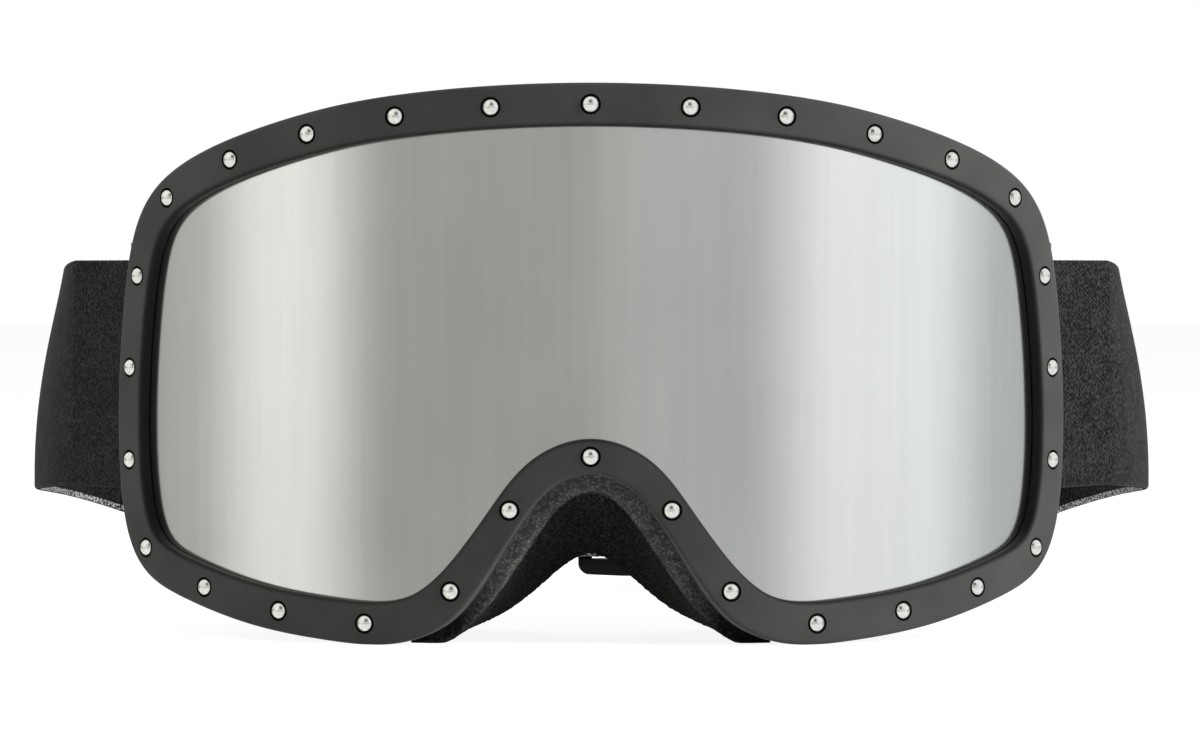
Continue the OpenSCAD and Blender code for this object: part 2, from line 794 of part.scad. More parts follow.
module strap_ring() {
    half_t = ring_half_t;
    left = ring_x - ring_end;
    right = ring_x + ring_l + ring_end;
    color("#161616") translate([0, 0, back_lift]) {
        for (x = [ring_x, ring_x + ring_l]) upright_bar(x, ring_y);
        intersection() {
            for (z = [0, back_rail_h - rail_h]) {
                translate([left, ring_y - half_t, z]) cube([right - left, 2 * half_t, rail_h]);
            }
            translate([0, ring_y + half_t + past, 0]) rotate([90, 0, 0]) {
                linear_extrude(2 * (half_t + past)) round_box(left, right, back_rail_h, ring_end);
            }
        }
    }
}

module left_side() {
    mirror([1, 0, 0]) children();
}

in_place() front_rim();
in_place() rim_studs();
in_place() outer_lens();
in_place() lens_gasket();
in_place() inner_lens();
in_place() frame_body();
in_place() top_vent_foam();
in_place() lower_vent_foam_left();
in_place() lower_vent_foam_right();
in_place() face_foam_base();
in_place() face_foam_pad();
in_place() face_fleece();
in_place() nose_foam();
in_place() left_side() strap_bar();  // strap_bar_left
in_place() strap_bar();  // strap_bar_right
in_place() left_side() strap_end();  // strap_end_left
in_place() strap_end();  // strap_end_right
in_place() left_side() strap_side();  // strap_side_left
in_place() strap_side();  // strap_side_right
in_place() left_side() strap_corner();  // strap_corner_left
in_place() strap_corner();  // strap_corner_right
in_place() strap_back_left();
in_place() strap_back_right();
in_place() strap_tail();
in_place() tail_loop();
in_place() slider();
in_place() strap_ring();
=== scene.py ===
# Studded snow goggles, as seen from the front. Every piece is made here in millimetres, in the same
# count as the drawing: x to the right of someone who faces the lens, y back from the rim's front,
# z up from the floor.
import math
import bmesh
import bpy
import numpy as np
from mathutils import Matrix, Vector, kdtree, noise


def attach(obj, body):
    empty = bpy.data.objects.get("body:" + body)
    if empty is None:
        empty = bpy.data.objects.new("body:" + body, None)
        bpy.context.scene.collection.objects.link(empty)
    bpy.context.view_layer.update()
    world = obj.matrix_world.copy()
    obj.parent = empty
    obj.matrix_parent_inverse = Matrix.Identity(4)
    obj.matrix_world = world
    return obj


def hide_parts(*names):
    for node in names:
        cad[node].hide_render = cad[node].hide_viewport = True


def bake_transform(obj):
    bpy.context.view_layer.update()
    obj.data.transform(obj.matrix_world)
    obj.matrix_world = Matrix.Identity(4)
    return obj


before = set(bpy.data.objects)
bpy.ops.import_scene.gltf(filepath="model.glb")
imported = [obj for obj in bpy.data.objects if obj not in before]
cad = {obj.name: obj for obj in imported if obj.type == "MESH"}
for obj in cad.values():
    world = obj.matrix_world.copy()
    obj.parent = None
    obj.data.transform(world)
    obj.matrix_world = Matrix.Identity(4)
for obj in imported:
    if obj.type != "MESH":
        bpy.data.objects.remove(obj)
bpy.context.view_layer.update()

# The photo set: a white floor and white paper behind, which stay white in the picture, and a camera
# with a long lens one metre in front of the rim, one degree above level. The room that the mirror
# shows is grey, with a tall soft lamp on each side.
MM = 0.001
RIM_FRONT = -92.425
CAMERA_FAR = 1000
CAMERA_X = 1.7
CAMERA_AIM_Z = 50.8
CAMERA_PITCH = math.radians(1)
CAMERA_LENS = 165


def add(tree, kind, sockets=None, **settings):
    """A shader node with some of its settings and sockets set or linked."""
    made = tree.nodes.new("ShaderNode" + kind)
    for key, value in settings.items():
        setattr(made, key, value)
    for key, value in (sockets or {}).items():
        if isinstance(value, bpy.types.NodeSocket):
            tree.links.new(value, made.inputs[key])
        else:
            made.inputs[key].default_value = value
    return made


def calc(tree, operation, a, b=0.0):
    """The result of one sum on two sockets or numbers."""
    return add(tree, "Math", {0: a, 1: b}, operation=operation).outputs[0]


def ramp(tree, value, low, high, start=0.0, end=1.0):
    """A soft step: start up to low, end from high on."""
    limits = {"Value": value, "From Min": low, "From Max": high, "To Min": start, "To Max": end}
    return add(tree, "MapRange", limits, interpolation_type="SMOOTHSTEP").outputs["Result"]


scene = bpy.context.scene
scene.view_settings.view_transform = "Standard"

camera = bpy.data.objects.new("camera", bpy.data.cameras.new("camera"))
scene.collection.objects.link(camera)
scene.camera = camera
camera.data.sensor_width = 36
camera.data.lens = CAMERA_LENS
camera.data.clip_start = 0.02
camera.rotation_euler = (math.radians(90) - CAMERA_PITCH, 0, 0)
camera.location = Vector((
    CAMERA_X,
    RIM_FRONT - CAMERA_FAR * math.cos(CAMERA_PITCH),
    CAMERA_AIM_Z + CAMERA_FAR * math.sin(CAMERA_PITCH),
)) * MM

room = bpy.data.worlds.new("studio_room")
scene.world = room
room.use_nodes = True
tree = room.node_tree
tree.nodes.clear()
direction = add(tree, "TexCoord").outputs["Generated"]
part = add(tree, "SeparateXYZ", {0: direction}).outputs
azimuth = calc(tree, "ARCTAN2", part["X"], calc(tree, "MULTIPLY", part["Y"], -1.0))
# The room's grey on the left and on the right
GREY_LEFT = 0.385
GREY_RIGHT = 0.50
level = ramp(tree, azimuth, math.radians(-5), math.radians(9), GREY_LEFT, GREY_RIGHT)
# Middle of each tall lamp, half of its bright width, half of its whole width, and its strength
for middle, bright, whole, strength in (
    (-63, 2, 24, 0.62), (-85, 3, 22, 0.14), (60, 9, 31, 0.54), (90, 4, 30, 0.08),
    (180, 20, 70, 0.25),
):
    away = calc(tree, "ABSOLUTE", calc(tree, "SUBTRACT", azimuth, math.radians(middle)))
    glow = ramp(tree, away, math.radians(bright), math.radians(whole), strength, 0.0)
    level = calc(tree, "ADD", level, glow)
LOW_SHARE = 0.8
level = calc(tree, "MULTIPLY", level, ramp(tree, part["Z"], -0.12, 0.04, LOW_SHARE, 1.0))
# White ceiling and floor beyond the tall walls, and the camera's dark body over the set
WALL_END = 0.075
WHITE_FROM = 0.17
BODY_RISE = 0.58
BODY_DARK = 0.93
beyond = ramp(tree, calc(tree, "ABSOLUTE", part["Z"]), WALL_END, WHITE_FROM)
level = calc(tree, "ADD", level, calc(
    tree, "MULTIPLY", beyond, calc(tree, "SUBTRACT", 1.0, level)
))
ahead = ramp(tree, calc(tree, "ABSOLUTE", azimuth), math.radians(17), math.radians(32), 1.0, 0.0)
raised = calc(tree, "ABSOLUTE", calc(tree, "SUBTRACT", part["Z"], BODY_RISE))
body = calc(tree, "MULTIPLY", ahead, ramp(tree, raised, 0.2, 0.36, BODY_DARK, 0.0))
level = calc(tree, "MULTIPLY", level, calc(tree, "SUBTRACT", 1.0, body))
warmth = ramp(tree, azimuth, math.radians(-40), math.radians(95))
tint = add(tree, "Mix", {0: warmth, 6: (1, 1, 0.95, 1), 7: (0.95, 0.99, 1, 1)}, data_type="RGBA")
# The room lights dull surfaces less than it shows in the mirror
DULL_LESS = 0.65
ray = add(tree, "LightPath").outputs
dimmer = calc(tree, "SUBTRACT", 1.0, calc(tree, "MULTIPLY", ray["Is Diffuse Ray"], DULL_LESS))
level = calc(tree, "MULTIPLY", level, dimmer)
grey_room = add(tree, "Background", {"Color": tint.outputs[2], "Strength": level})
white_paper = add(tree, "Background", {"Color": (1, 1, 1, 1), "Strength": 1.0})
seen = calc(tree, "MAXIMUM", ray["Is Camera Ray"], ray["Is Transmission Ray"])
shown = add(tree, "MixShader", {0: seen, 1: grey_room.outputs[0], 2: white_paper.outputs[0]})
tree.links.new(shown.outputs[0], add(tree, "OutputWorld").inputs["Surface"])

FLOOR_HALF = 6.0
floor_mesh = bpy.data.meshes.new("floor")
floor_mesh.from_pydata(
    [(-FLOOR_HALF, -FLOOR_HALF, 0), (FLOOR_HALF, -FLOOR_HALF, 0),
     (FLOOR_HALF, FLOOR_HALF, 0), (-FLOOR_HALF, FLOOR_HALF, 0)],
    [], [(0, 1, 2, 3)],
)
floor = bpy.data.objects.new("floor", floor_mesh)
scene.collection.objects.link(floor)
white_floor = bpy.data.materials.new("white_floor")
white_floor.use_nodes = True
tree = white_floor.node_tree
tree.nodes.clear()
ray = add(tree, "LightPath").outputs
glows = add(tree, "Emission", {"Color": (1, 1, 1, 1), "Strength": 0.9})
takes_shadow = add(tree, "BsdfDiffuse", {"Color": (0.2, 0.2, 0.2, 1)})
in_picture = add(tree, "AddShader", {0: glows.outputs[0], 1: takes_shadow.outputs[0]})
pale = add(tree, "BsdfDiffuse", {"Color": (0.78, 0.78, 0.77, 1)})
clear = add(tree, "BsdfTransparent")
mirrored = calc(tree, "MAXIMUM", ray["Is Glossy Ray"], ray["Is Transmission Ray"])
unseen = add(tree, "MixShader", {0: mirrored, 1: pale.outputs[0], 2: clear.outputs[0]})
whole = add(
    tree, "MixShader", {0: ray["Is Camera Ray"], 1: unseen.outputs[0], 2: in_picture.outputs[0]}
)
tree.links.new(whole.outputs[0], add(tree, "OutputMaterial").inputs["Surface"])
floor_mesh.materials.append(white_floor)

# Soft boxes round the set: name, place, width, height and watts; each faces the goggles, and the
# mirror shows none of them
for lamp_name, place, wide, high, watts in (
    ("lamp_over", (0.3, -0.6, 1.2), 1.3, 0.9, 2.8),
    ("lamp_left", (-1.3, -0.25, 0.5), 0.6, 1.0, 15),
    ("lamp_right", (1.25, -0.42, 0.5), 0.6, 1.0, 50),
    ("lamp_behind", (-0.2, 1.1, 0.9), 1.2, 0.8, 8),
):
    lamp = bpy.data.objects.new(lamp_name, bpy.data.lights.new(lamp_name, "AREA"))
    lamp.data.shape = "RECTANGLE"
    lamp.data.size = wide
    lamp.data.size_y = high
    lamp.data.energy = watts
    lamp.location = place
    towards = Vector((0, 0, 0.05)) - Vector(place)
    lamp.rotation_euler = towards.to_track_quat("-Z", "Y").to_euler()
    lamp.visible_glossy = False
    scene.collection.objects.link(lamp)

# Front rim: one moulding of matte dark grey plastic, bent to the lens' cylinder. A lip lies over
# the lens, a skirt runs behind it, and each stud sits in a shallow round sink that is drilled into
# the face, its inside coloured near-black as painted shadow round the stud.
GOGGLE_W = 180
GOGGLE_H = 103
WRAP_R = 115
RIM_W = 8
RIM_SIDE_LESS = 0.3
RIM_NOSE_LESS = 0.8
RIM_LIP = 2.3
RIM_REAR = 7.7
RIM_DRAFT = 0.4
RIM_GROOVE = 1.1
RIM_ROWS = 600
# Across and up of the rim's middle line, then of the face foam's, from the top centre round the
# right half to the nose, in percent of the half length and of the height
OUTLINE = [
    (0, 100, 0, 96.8), (17, 99.5, 16.5, 96.3), (32, 98.3, 31.1, 95.1),
    (48.1, 96.2, 46.6, 92.8), (67.1, 91.3, 64.6, 87.9), (77.7, 87.8, 74.6, 84.1),
    (84.9, 84.6, 81.6, 80.4), (90.8, 80.8, 86.9, 76.4), (95.6, 74.2, 91.1, 70.1),
    (98.3, 61.3, 94.1, 59.1), (100, 44.3, 95.3, 44.3), (99.9, 29.5, 95.1, 30.6),
    (97.9, 17.2, 92.8, 18.7), (92.9, 10.6, 88.3, 11.6), (84.2, 7.5, 80.1, 7),
    (66.1, 2.3, 64.1, 0.9), (49.1, 0.3, 49.1, 0), (39.8, -0.5, 40, 0),
    (31.5, 1.2, 31.5, 0.6), (25.9, 6, 25, 3.2), (21.2, 12.4, 18.5, 6),
    (14.3, 23.2, 12.2, 11.4), (9, 30, 6.5, 16.2), (0, 33.5, 0, 18.7),
]
HALF_ARC = math.asin(GOGGLE_W / 2 / WRAP_R) * WRAP_R - RIM_W / 2 + RIM_SIDE_LESS
LINE_H = GOGGLE_H - RIM_W
FINE_STEPS = 1440


def closed_line(column):
    """The rim's line (column 0) or the face foam's (column 2) as points all the way round."""
    right = [
        (row[column] / 100 * HALF_ARC, RIM_W / 2 + row[column + 1] / 100 * LINE_H)
        for row in OUTLINE
    ]
    left = [(-across, up) for across, up in right[-2:0:-1]]
    return np.array(right + left)


def on_line(line, along):
    """Points on the smooth closed curve that follows a line."""
    first = np.floor(along).astype(int)
    f = (along - first)[:, None]
    before, here, after, far = (line[(first + k) % len(line)] for k in (-1, 0, 1, 2))
    return (
        before * (1 - f) ** 3 + here * (3 * f ** 3 - 6 * f * f + 4)
        + after * (-3 * f ** 3 + 3 * f * f + 3 * f + 1) + far * f ** 3
    ) / 6


def out_of_line(line, along):
    """Unit directions that point outwards from that curve."""
    d = on_line(line, along + 0.05) - on_line(line, along + len(line) - 0.05)
    return np.stack([-d[:, 1], d[:, 0]], -1) / np.linalg.norm(d, axis=1)[:, None]


rim_line = closed_line(0)
face_line = closed_line(2)
rim_counts = np.linspace(0, len(rim_line), len(rim_line) * 8 + 1)
rim_steps = np.linalg.norm(np.diff(on_line(rim_line, rim_counts), axis=0), axis=1)
rim_lengths = np.concatenate([[0], np.cumsum(rim_steps)])


def round_the_rim(shares):
    """Where the rim's and the foam's lines are at shares of the way round from the top."""
    along = np.interp(np.asarray(shares) % 1 * rim_lengths[-1], rim_lengths, rim_counts)
    return (
        on_line(rim_line, along), out_of_line(rim_line, along),
        on_line(face_line, along), out_of_line(face_line, along),
    )


def wrapped(flat, depth, back):
    """Flat points bent onto the cylinder, a depth below its face and a way back, in metres."""
    angle = flat[..., 0] / WRAP_R
    radius = WRAP_R - depth
    y = WRAP_R - radius * np.cos(angle) + back + RIM_FRONT
    return np.stack([radius * np.sin(angle), y, np.maximum(0, flat[..., 1])], -1) * MM


NOSE_HALF = 30
NOSE_FADE = 14


def half_width(line):
    """Half the width of the rim's band at points of its line, less at the temples and the nose."""
    across, up = np.abs(line[..., 0:1]), line[..., 1:2]
    f = np.clip((NOSE_HALF - across) / NOSE_FADE, 0, 1) * (up < LINE_H / 2)
    side = RIM_SIDE_LESS * np.minimum(1, across / HALF_ARC) ** 3
    return RIM_W / 2 - side - RIM_NOSE_LESS * f * f * (3 - 2 * f)


def swept(shares, profile):
    """Rows of points: the profile [share to the foam's line, share of the band's half width,
    offset outwards, depth, distance back] at each share of the way round."""
    rim, rim_out, face, face_out = (a[:, None, :] for a in round_the_rim(shares))
    q = np.asarray(profile, float)[None, :, :]
    share = q[..., 0:1]
    middle = rim * (1 - share) + face * share
    out = rim_out * (1 - share) + face_out * share
    out = out / np.linalg.norm(out, axis=2)[..., None]
    flat = middle + out * (q[..., 1:2] * half_width(rim) + q[..., 2:3])
    return wrapped(flat, q[..., 3], q[..., 4])


def eased(profile, rounds, steps=5, most=0.49):
    """The closed profile with its corners rounded, each by its own radius in mm, and by no more
    than a share of its sides."""
    corners = np.asarray(profile, float)
    made = []
    for i, corner in enumerate(corners):
        if rounds[i] == 0:
            made.append(corner)
            continue
        ends = []
        for other in (corners[i - 1], corners[(i + 1) % len(corners)]):
            step = other - corner
            length = math.hypot(step[1] * RIM_W / 2 + step[2], step[3] + step[4])
            ends.append(corner + step * min(most, rounds[i] / length))
        for k in range(steps + 1):
            f = k / steps
            made.append(ends[0] * (1 - f) ** 2 + corner * 2 * f * (1 - f) + ends[1] * f * f)
    return np.array(made)


def filled(profile, spacing):
    """A closed profile with points added along its sides, about a spacing apart."""
    made = []
    for i, here in enumerate(profile):
        step = profile[(i + 1) % len(profile)] - here
        length = math.hypot(step[1] * RIM_W / 2 + step[2], step[3] + step[4])
        parts = max(1, round(length / spacing))
        made += [here + step * k / parts for k in range(parts)]
    return np.array(made)


def piece(name, points, faces, sharp=None):
    """A smooth-shaded object; sharp is the angle in degrees from which an edge stays sharp."""
    mesh = bpy.data.meshes.new(name)
    mesh.from_pydata(np.asarray(points).tolist(), [], faces)
    mesh.polygons.foreach_set("use_smooth", [True] * len(mesh.polygons))
    if sharp:
        mesh.set_sharp_from_angle(angle=math.radians(sharp))
    made = bpy.data.objects.new(name, mesh)
    scene.collection.objects.link(made)
    return made


def tube_faces(rows, across, closed):
    """Faces over rows of points that run round the piece, with flat ends if it isn't closed."""
    faces = []
    for i in range(rows if closed else rows - 1):
        for j in range(across):
            a = i * across + j
            b = i * across + (j + 1) % across
            c = (i + 1) % rows * across
            faces.append((a, b, c + (j + 1) % across, c + j))
    if not closed:
        faces.append(tuple(range(across - 1, -1, -1)))
        faces.append(tuple(range((rows - 1) * across, rows * across)))
    return faces


def ring(name, count, profile, sharp):
    """A closed piece that runs all the way round the goggles."""
    rows = swept(np.arange(count) / count, profile)
    return piece(name, rows.reshape(-1, 3), tube_faces(count, len(profile), True), sharp)


def material(name, colour, roughness, metallic=0.0):
    """A material with one shader; returns it, its tree, its shader and the place on the piece."""
    made = bpy.data.materials.new(name)
    made.use_nodes = True
    tree = made.node_tree
    shader = tree.nodes["Principled BSDF"]
    shader.inputs["Base Color"].default_value = (*colour, 1)
    shader.inputs["Roughness"].default_value = roughness
    shader.inputs["Metallic"].default_value = metallic
    return made, tree, shader, add(tree, "TexCoord").outputs["Object"]


def speckle(tree, place, size, detail=2.0):
    """A soft random value, with patches of about a size in mm."""
    return add(
        tree, "TexNoise", {"Vector": place, "Scale": 1 / (size * MM), "Detail": detail}
    ).outputs[0]


def shades(tree, value, dark, light, low=0.35, high=0.65):
    """A colour between two, by a value."""
    f = add(tree, "MapRange", {"Value": value, "From Min": low, "From Max": high}).outputs[0]
    return add(
        tree, "Mix", {0: f, 6: (*dark, 1), 7: (*light, 1)}, data_type="RGBA"
    ).outputs[2]


def bumpy(tree, shader, height, depth):
    """Gives the shader a relief of a depth in mm."""
    relief = add(tree, "Bump", {"Height": height, "Distance": depth * MM, "Strength": 1.0})
    tree.links.new(relief.outputs[0], shader.inputs["Normal"])


def moulded(name, dark, light, roughness, grain, shine=0.3):
    """Moulded plastic: a slight cloud in its colour, and a fine grain on its skin."""
    made, tree, shader, place = material(name, light, roughness)
    cloud = shades(tree, speckle(tree, place, 14), dark, light)
    tree.links.new(cloud, shader.inputs["Base Color"])
    worn = add(tree, "MapRange", {
        "Value": speckle(tree, place, 3.5, 4.0), "To Min": roughness - 0.05,
        "To Max": roughness + 0.07,
    })
    tree.links.new(worn.outputs[0], shader.inputs["Roughness"])
    shader.inputs["Specular IOR Level"].default_value = shine
    bumpy(tree, shader, speckle(tree, place, 0.12), grain)
    return made


lip_inner = (0, -1, 0)
groove = (0, 0, -RIM_GROOVE)
rim_profile = eased(
    [(*lip_inner, RIM_LIP, 0), (*lip_inner, 0, 0), (0, 1, 0, 0, 0),
     (0, 1, -RIM_DRAFT, RIM_REAR, 0), (*groove, RIM_REAR, 0), (*groove, RIM_LIP, 0)],
    rounds=(0.3, 1.1, 1.0, 0.4, 0.2, 0), steps=6,
)
front_rim = ring("front_rim_moulding", RIM_ROWS, filled(rim_profile, spacing=1.3), sharp=40)


def turned(profile, sides):
    """Points and faces of a lathed form about z, from a profile of radius and height."""
    points = []
    for radius, height in profile:
        for k in range(sides):
            a = 2 * math.pi * k / sides
            points.append((radius * math.cos(a), radius * math.sin(a), height))
    return np.array(points), tube_faces(len(profile), sides, False)


def stand_on_rim(shape, shares):
    """Copies of a form in mm that stand square on the rim's face at shares of the way round."""
    points, faces = shape
    made_points, made_faces = [], []
    for middle in round_the_rim(shares)[0]:
        a = middle[0] / WRAP_R
        out = np.array([math.sin(a), -math.cos(a), 0])
        aside = np.array([math.cos(a), math.sin(a), 0])
        up = np.array([0, 0, 1])
        foot = wrapped(middle, 0, 0)
        first = len(made_points) * len(points)
        made_points.append(
            foot + (points[:, 0:1] * aside + points[:, 1:2] * up + points[:, 2:3] * out) * MM
        )
        made_faces += [tuple(first + k for k in face) for face in faces]
    return np.concatenate(made_points), made_faces


def cut(target, cutter):
    """Cuts one object out of another and removes the cutter."""
    knife = target.modifiers.new("cut", "BOOLEAN")
    knife.object = cutter
    knife.solver = "EXACT"
    bpy.context.view_layer.update()
    seen = target.evaluated_get(bpy.context.evaluated_depsgraph_get())
    cut_mesh = bpy.data.meshes.new_from_object(seen)
    target.modifiers.clear()
    target.data = cut_mesh
    bpy.data.objects.remove(cutter)


SINK_R = 1.85
SINK_D = 0.3
STUDS = 30
# How far, in mm, the studs bunch towards the sides, and those at the sides towards the top
STUD_SHIFT = 1.2
STUD_RISE = 0.7
stud_turns = np.arange(STUDS) * 2 * math.pi / STUDS
stud_moves = STUD_SHIFT * np.sin(2 * stud_turns) - STUD_RISE * np.sin(stud_turns)
stud_shares = np.arange(STUDS) / STUDS + stud_moves / rim_lengths[-1]
# A flat floor, a steep side and a funnel that clears the rim's face
sink = turned(
    [(SINK_R - 0.25, -SINK_D), (SINK_R, -0.05), (SINK_R + 0.35, 0.35), (SINK_R + 0.4, 2)],
    sides=36,
)
cut(front_rim, piece("sinks", *stand_on_rim(sink, stud_shares)))
front_rim.data.polygons.foreach_set("use_smooth", [True] * len(front_rim.data.polygons))
front_rim.data.set_sharp_from_angle(angle=math.radians(38))
front_rim.data.materials.clear()


def shade_inner_edge(made, wide):
    """Stores how near each point lies to the band's inner edge: 0 on the face, 1 on the edge.
    This is the share of painted shade on the inner rounding and wall.
    """
    mesh = made.data
    points = np.empty(len(mesh.vertices) * 3)
    mesh.vertices.foreach_get("co", points)
    x, y, z = (points.reshape(-1, 3) / MM).T
    far_back = WRAP_R - (y - RIM_FRONT)
    across = np.arctan2(x, far_back) * WRAP_R
    line, line_out = round_the_rim(np.arange(FINE_STEPS) / FINE_STEPS)[:2]
    tree = kdtree.KDTree(len(line))
    for i, (a, b) in enumerate(line):
        tree.insert((a, b, 0), i)
    tree.balance()
    nearest = np.array([tree.find((a, b, 0))[1] for a, b in zip(across, z)])
    offset = ((np.stack([across, z], -1) - line[nearest]) * line_out[nearest]).sum(1)
    value = np.clip((-offset - half_width(line)[nearest, 0] + wide) / wide, 0, 1)
    # The wall deep by the lens takes the whole painted shade
    deep = WRAP_R - np.hypot(x, far_back) > RIM_LIP - 0.1
    value[deep & (offset < 0)] = 1
    inner_edge_shade = mesh.attributes.new("inner_edge_shade", "FLOAT", "POINT")
    inner_edge_shade.data.foreach_set("value", value)


shade_inner_edge(front_rim, wide=1.0)
rim_plastic = moulded(
    "matte_rim", dark=(0.026, 0.026, 0.0245), light=(0.034, 0.034, 0.032),
    roughness=0.5, grain=0.012, shine=0.15,
)
tree = rim_plastic.node_tree
shader = tree.nodes["Principled BSDF"]
face_colour = shader.inputs["Base Color"].links[0].from_socket
# The face's colour runs to near-black over the inner rounding and the wall by the lens: painted
# shade
inner_edge_shade = add(tree, "Attribute", attribute_name="inner_edge_shade").outputs["Fac"]
edge_shaded_colour = add(
    tree, "Mix", {0: ramp(tree, inner_edge_shade, 0.0, 1.0), 6: face_colour, 7: (0.005, 0.005, 0.005, 1)},
    data_type="RGBA",
)
tree.links.new(edge_shaded_colour.outputs[2], shader.inputs["Base Color"])
front_rim.data.materials.append(rim_plastic)
# The faces inside the sinks are near-black: painted shadow round the studs
sink_shade = moulded(
    "sink_shade", dark=(0.002, 0.002, 0.002), light=(0.003, 0.003, 0.003),
    roughness=0.7, grain=0.012, shine=0.02,
)
front_rim.data.materials.append(sink_shade)
x, y, z = np.array([v.co for v in front_rim.data.vertices]).T / MM
across = np.arctan2(x, WRAP_R - (y - RIM_FRONT)) * WRAP_R
stud_middles = round_the_rim(stud_shares)[0]
from_stud = np.hypot(across[:, None] - stud_middles[:, 0], z[:, None] - stud_middles[:, 1])
in_sink = from_stud.min(axis=1) < SINK_R + 0.1
sink_faces = [bool(in_sink[list(face.vertices)].all()) for face in front_rim.data.polygons]
front_rim.data.polygons.foreach_set("material_index", sink_faces)
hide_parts("front_rim")
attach(front_rim, "goggle")

# Studs: thirty turned steel rivets with a domed head, polished. The head's straight side stands in
# the sink, and the pin is pressed into the rim.
STUD_R = 1.5
STUD_DOME = 0.8
STUD_EDGE = 0.12
PIN_R = 0.75
PIN_L = 2.2
DOME_STEPS = 9
dome_r = (STUD_R ** 2 + STUD_DOME ** 2) / (2 * STUD_DOME)
opening = math.asin(min(1, STUD_R / dome_r))
stud_profile = [
    (PIN_R, -PIN_L), (PIN_R, -SINK_D), (STUD_R - STUD_EDGE, -SINK_D), (STUD_R, STUD_EDGE - SINK_D),
]
for k in range(DOME_STEPS, 0, -1):
    a = opening * k / DOME_STEPS
    stud_profile.append((dome_r * math.sin(a), STUD_DOME - dome_r + dome_r * math.cos(a)))
stud_profile.append((0.02, STUD_DOME))
studs = piece("dome_studs", *stand_on_rim(turned(stud_profile, sides=40), stud_shares), sharp=50)
stud_steel, tree, shader, place = material("polished_steel", (0.8, 0.79, 0.76), 0.27, 1.0)
tree.links.new(
    shades(tree, speckle(tree, place, 0.7), (0.74, 0.73, 0.7), (0.84, 0.83, 0.8)),
    shader.inputs["Base Color"],
)
bumpy(tree, shader, speckle(tree, place, 0.5), 0.02)
studs.data.materials.append(stud_steel)
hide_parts("rim_studs")
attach(studs, "goggle")

# Outer lens: one sheet bent to a cylinder, with a silver mirror coat on its front and a smoke tint
# seen from behind. Its edge is held in the rim's groove.
LENS_IN = 1.4
OUTER_LENS_FRONT = 2.4
OUTER_LENS_REAR = 3.9


def lens(name, front, rear, columns=180, rows=24):
    """A lens sheet inside the rim's line: its front face first, then its rear face and edge."""
    rim, rim_out = round_the_rim(np.arange(FINE_STEPS) / FINE_STEPS)[:2]
    edge = (rim - rim_out * LENS_IN)[: FINE_STEPS // 2 + 1]
    widest = int(np.argmax(edge[:, 0]))
    upper = edge[: widest + 1]
    lower = edge[: widest - 1: -1]
    across = edge[widest, 0] * np.sin(np.linspace(-1, 1, columns + 1) * math.pi / 2) * 0.9999
    top = np.interp(np.abs(across), upper[:, 0], upper[:, 1])
    low = np.interp(np.abs(across), lower[:, 0], lower[:, 1])
    f = np.linspace(0, 1, rows + 1)[None, :]
    up = low[:, None] * (1 - f) + top[:, None] * f
    flat = np.stack([np.broadcast_to(across[:, None], up.shape), up], -1)
    sheets = [wrapped(flat, np.full(up.shape, d), 0).reshape(-1, 3) for d in (front, rear)]
    size = (columns + 1) * (rows + 1)
    front_faces, rear_faces = [], []
    for i in range(columns):
        for j in range(rows):
            a = i * (rows + 1) + j
            quad = (a, a + rows + 1, a + rows + 2, a + 1)
            front_faces.append(quad)
            rear_faces.append(tuple(size + k for k in quad[::-1]))
    border = [i * (rows + 1) for i in range(columns + 1)]
    border += [columns * (rows + 1) + j for j in range(1, rows + 1)]
    border += [i * (rows + 1) + rows for i in range(columns - 1, -1, -1)]
    border += list(range(rows - 1, 0, -1))
    for k, here in enumerate(border):
        after = border[(k + 1) % len(border)]
        rear_faces.append((after, here, size + here, size + after))
    made = piece(name, np.concatenate(sheets), front_faces + rear_faces, sharp=50)
    return made, len(front_faces)


outer_lens, front_faces = lens("mirror_lens", OUTER_LENS_FRONT, OUTER_LENS_REAR)
mirror, tree, shader, place = material("silver_mirror", (0.8, 0.8, 0.79), 0.13, 1.0)
streaked = add(tree, "Mapping", {"Vector": place, "Scale": (1, 1, 0.04)}).outputs[0]
fine = speckle(tree, streaked, 2.2, 3.0)
tree.links.new(
    shades(tree, fine, (0.775, 0.775, 0.765), (0.805, 0.805, 0.795), 0.3, 0.7),
    shader.inputs["Base Color"],
)
cloudy = speckle(tree, place, 28, 1.0)
hazy = add(tree, "MapRange", {"Value": cloudy, "To Min": 0.1, "To Max": 0.2})
tree.links.new(hazy.outputs[0], shader.inputs["Roughness"])
bumpy(tree, shader, cloudy, 0.12)
smoke, tree, shader, place = material("smoke_tint", (0.05, 0.05, 0.055), 0.09, 1.0)
tree.links.new(
    shades(tree, speckle(tree, place, 20), (0.045, 0.045, 0.05), (0.055, 0.055, 0.061)),
    shader.inputs["Base Color"],
)
outer_lens.data.materials.append(mirror)
outer_lens.data.materials.append(smoke)
sides = np.ones(len(outer_lens.data.polygons), int)
sides[:front_faces] = 0
outer_lens.data.polygons.foreach_set("material_index", sides)
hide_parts("outer_lens")
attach(outer_lens, "goggle")

# Spacer: a strip of closed-cell foam with round edges, glued between the two lenses all the way
# round.
def roughened(made, amount, size, seed):
    """Presses the pores of foam into a piece: pits and grains of a size in mm."""
    mesh = made.data
    count = len(mesh.vertices)
    points = np.empty(count * 3)
    normals = np.empty(count * 3)
    mesh.vertices.foreach_get("co", points)
    mesh.vertex_normals.foreach_get("vector", normals)
    points = points.reshape(-1, 3)
    normals = normals.reshape(-1, 3)
    shift = Vector((seed * 7.3, seed * 3.1, seed * 5.7))
    scaled = points / (size * MM)
    depth = np.array([
        noise.noise(Vector(p) + shift) + 0.5 * noise.noise(Vector(p) * 2.3 + shift)
        for p in scaled
    ])
    points -= normals * (np.clip(depth + 0.35, 0, 1.2) * amount * MM)[:, None]
    points[:, 2] = np.maximum(points[:, 2], 0)
    mesh.vertices.foreach_set("co", points.ravel())
    mesh.update()


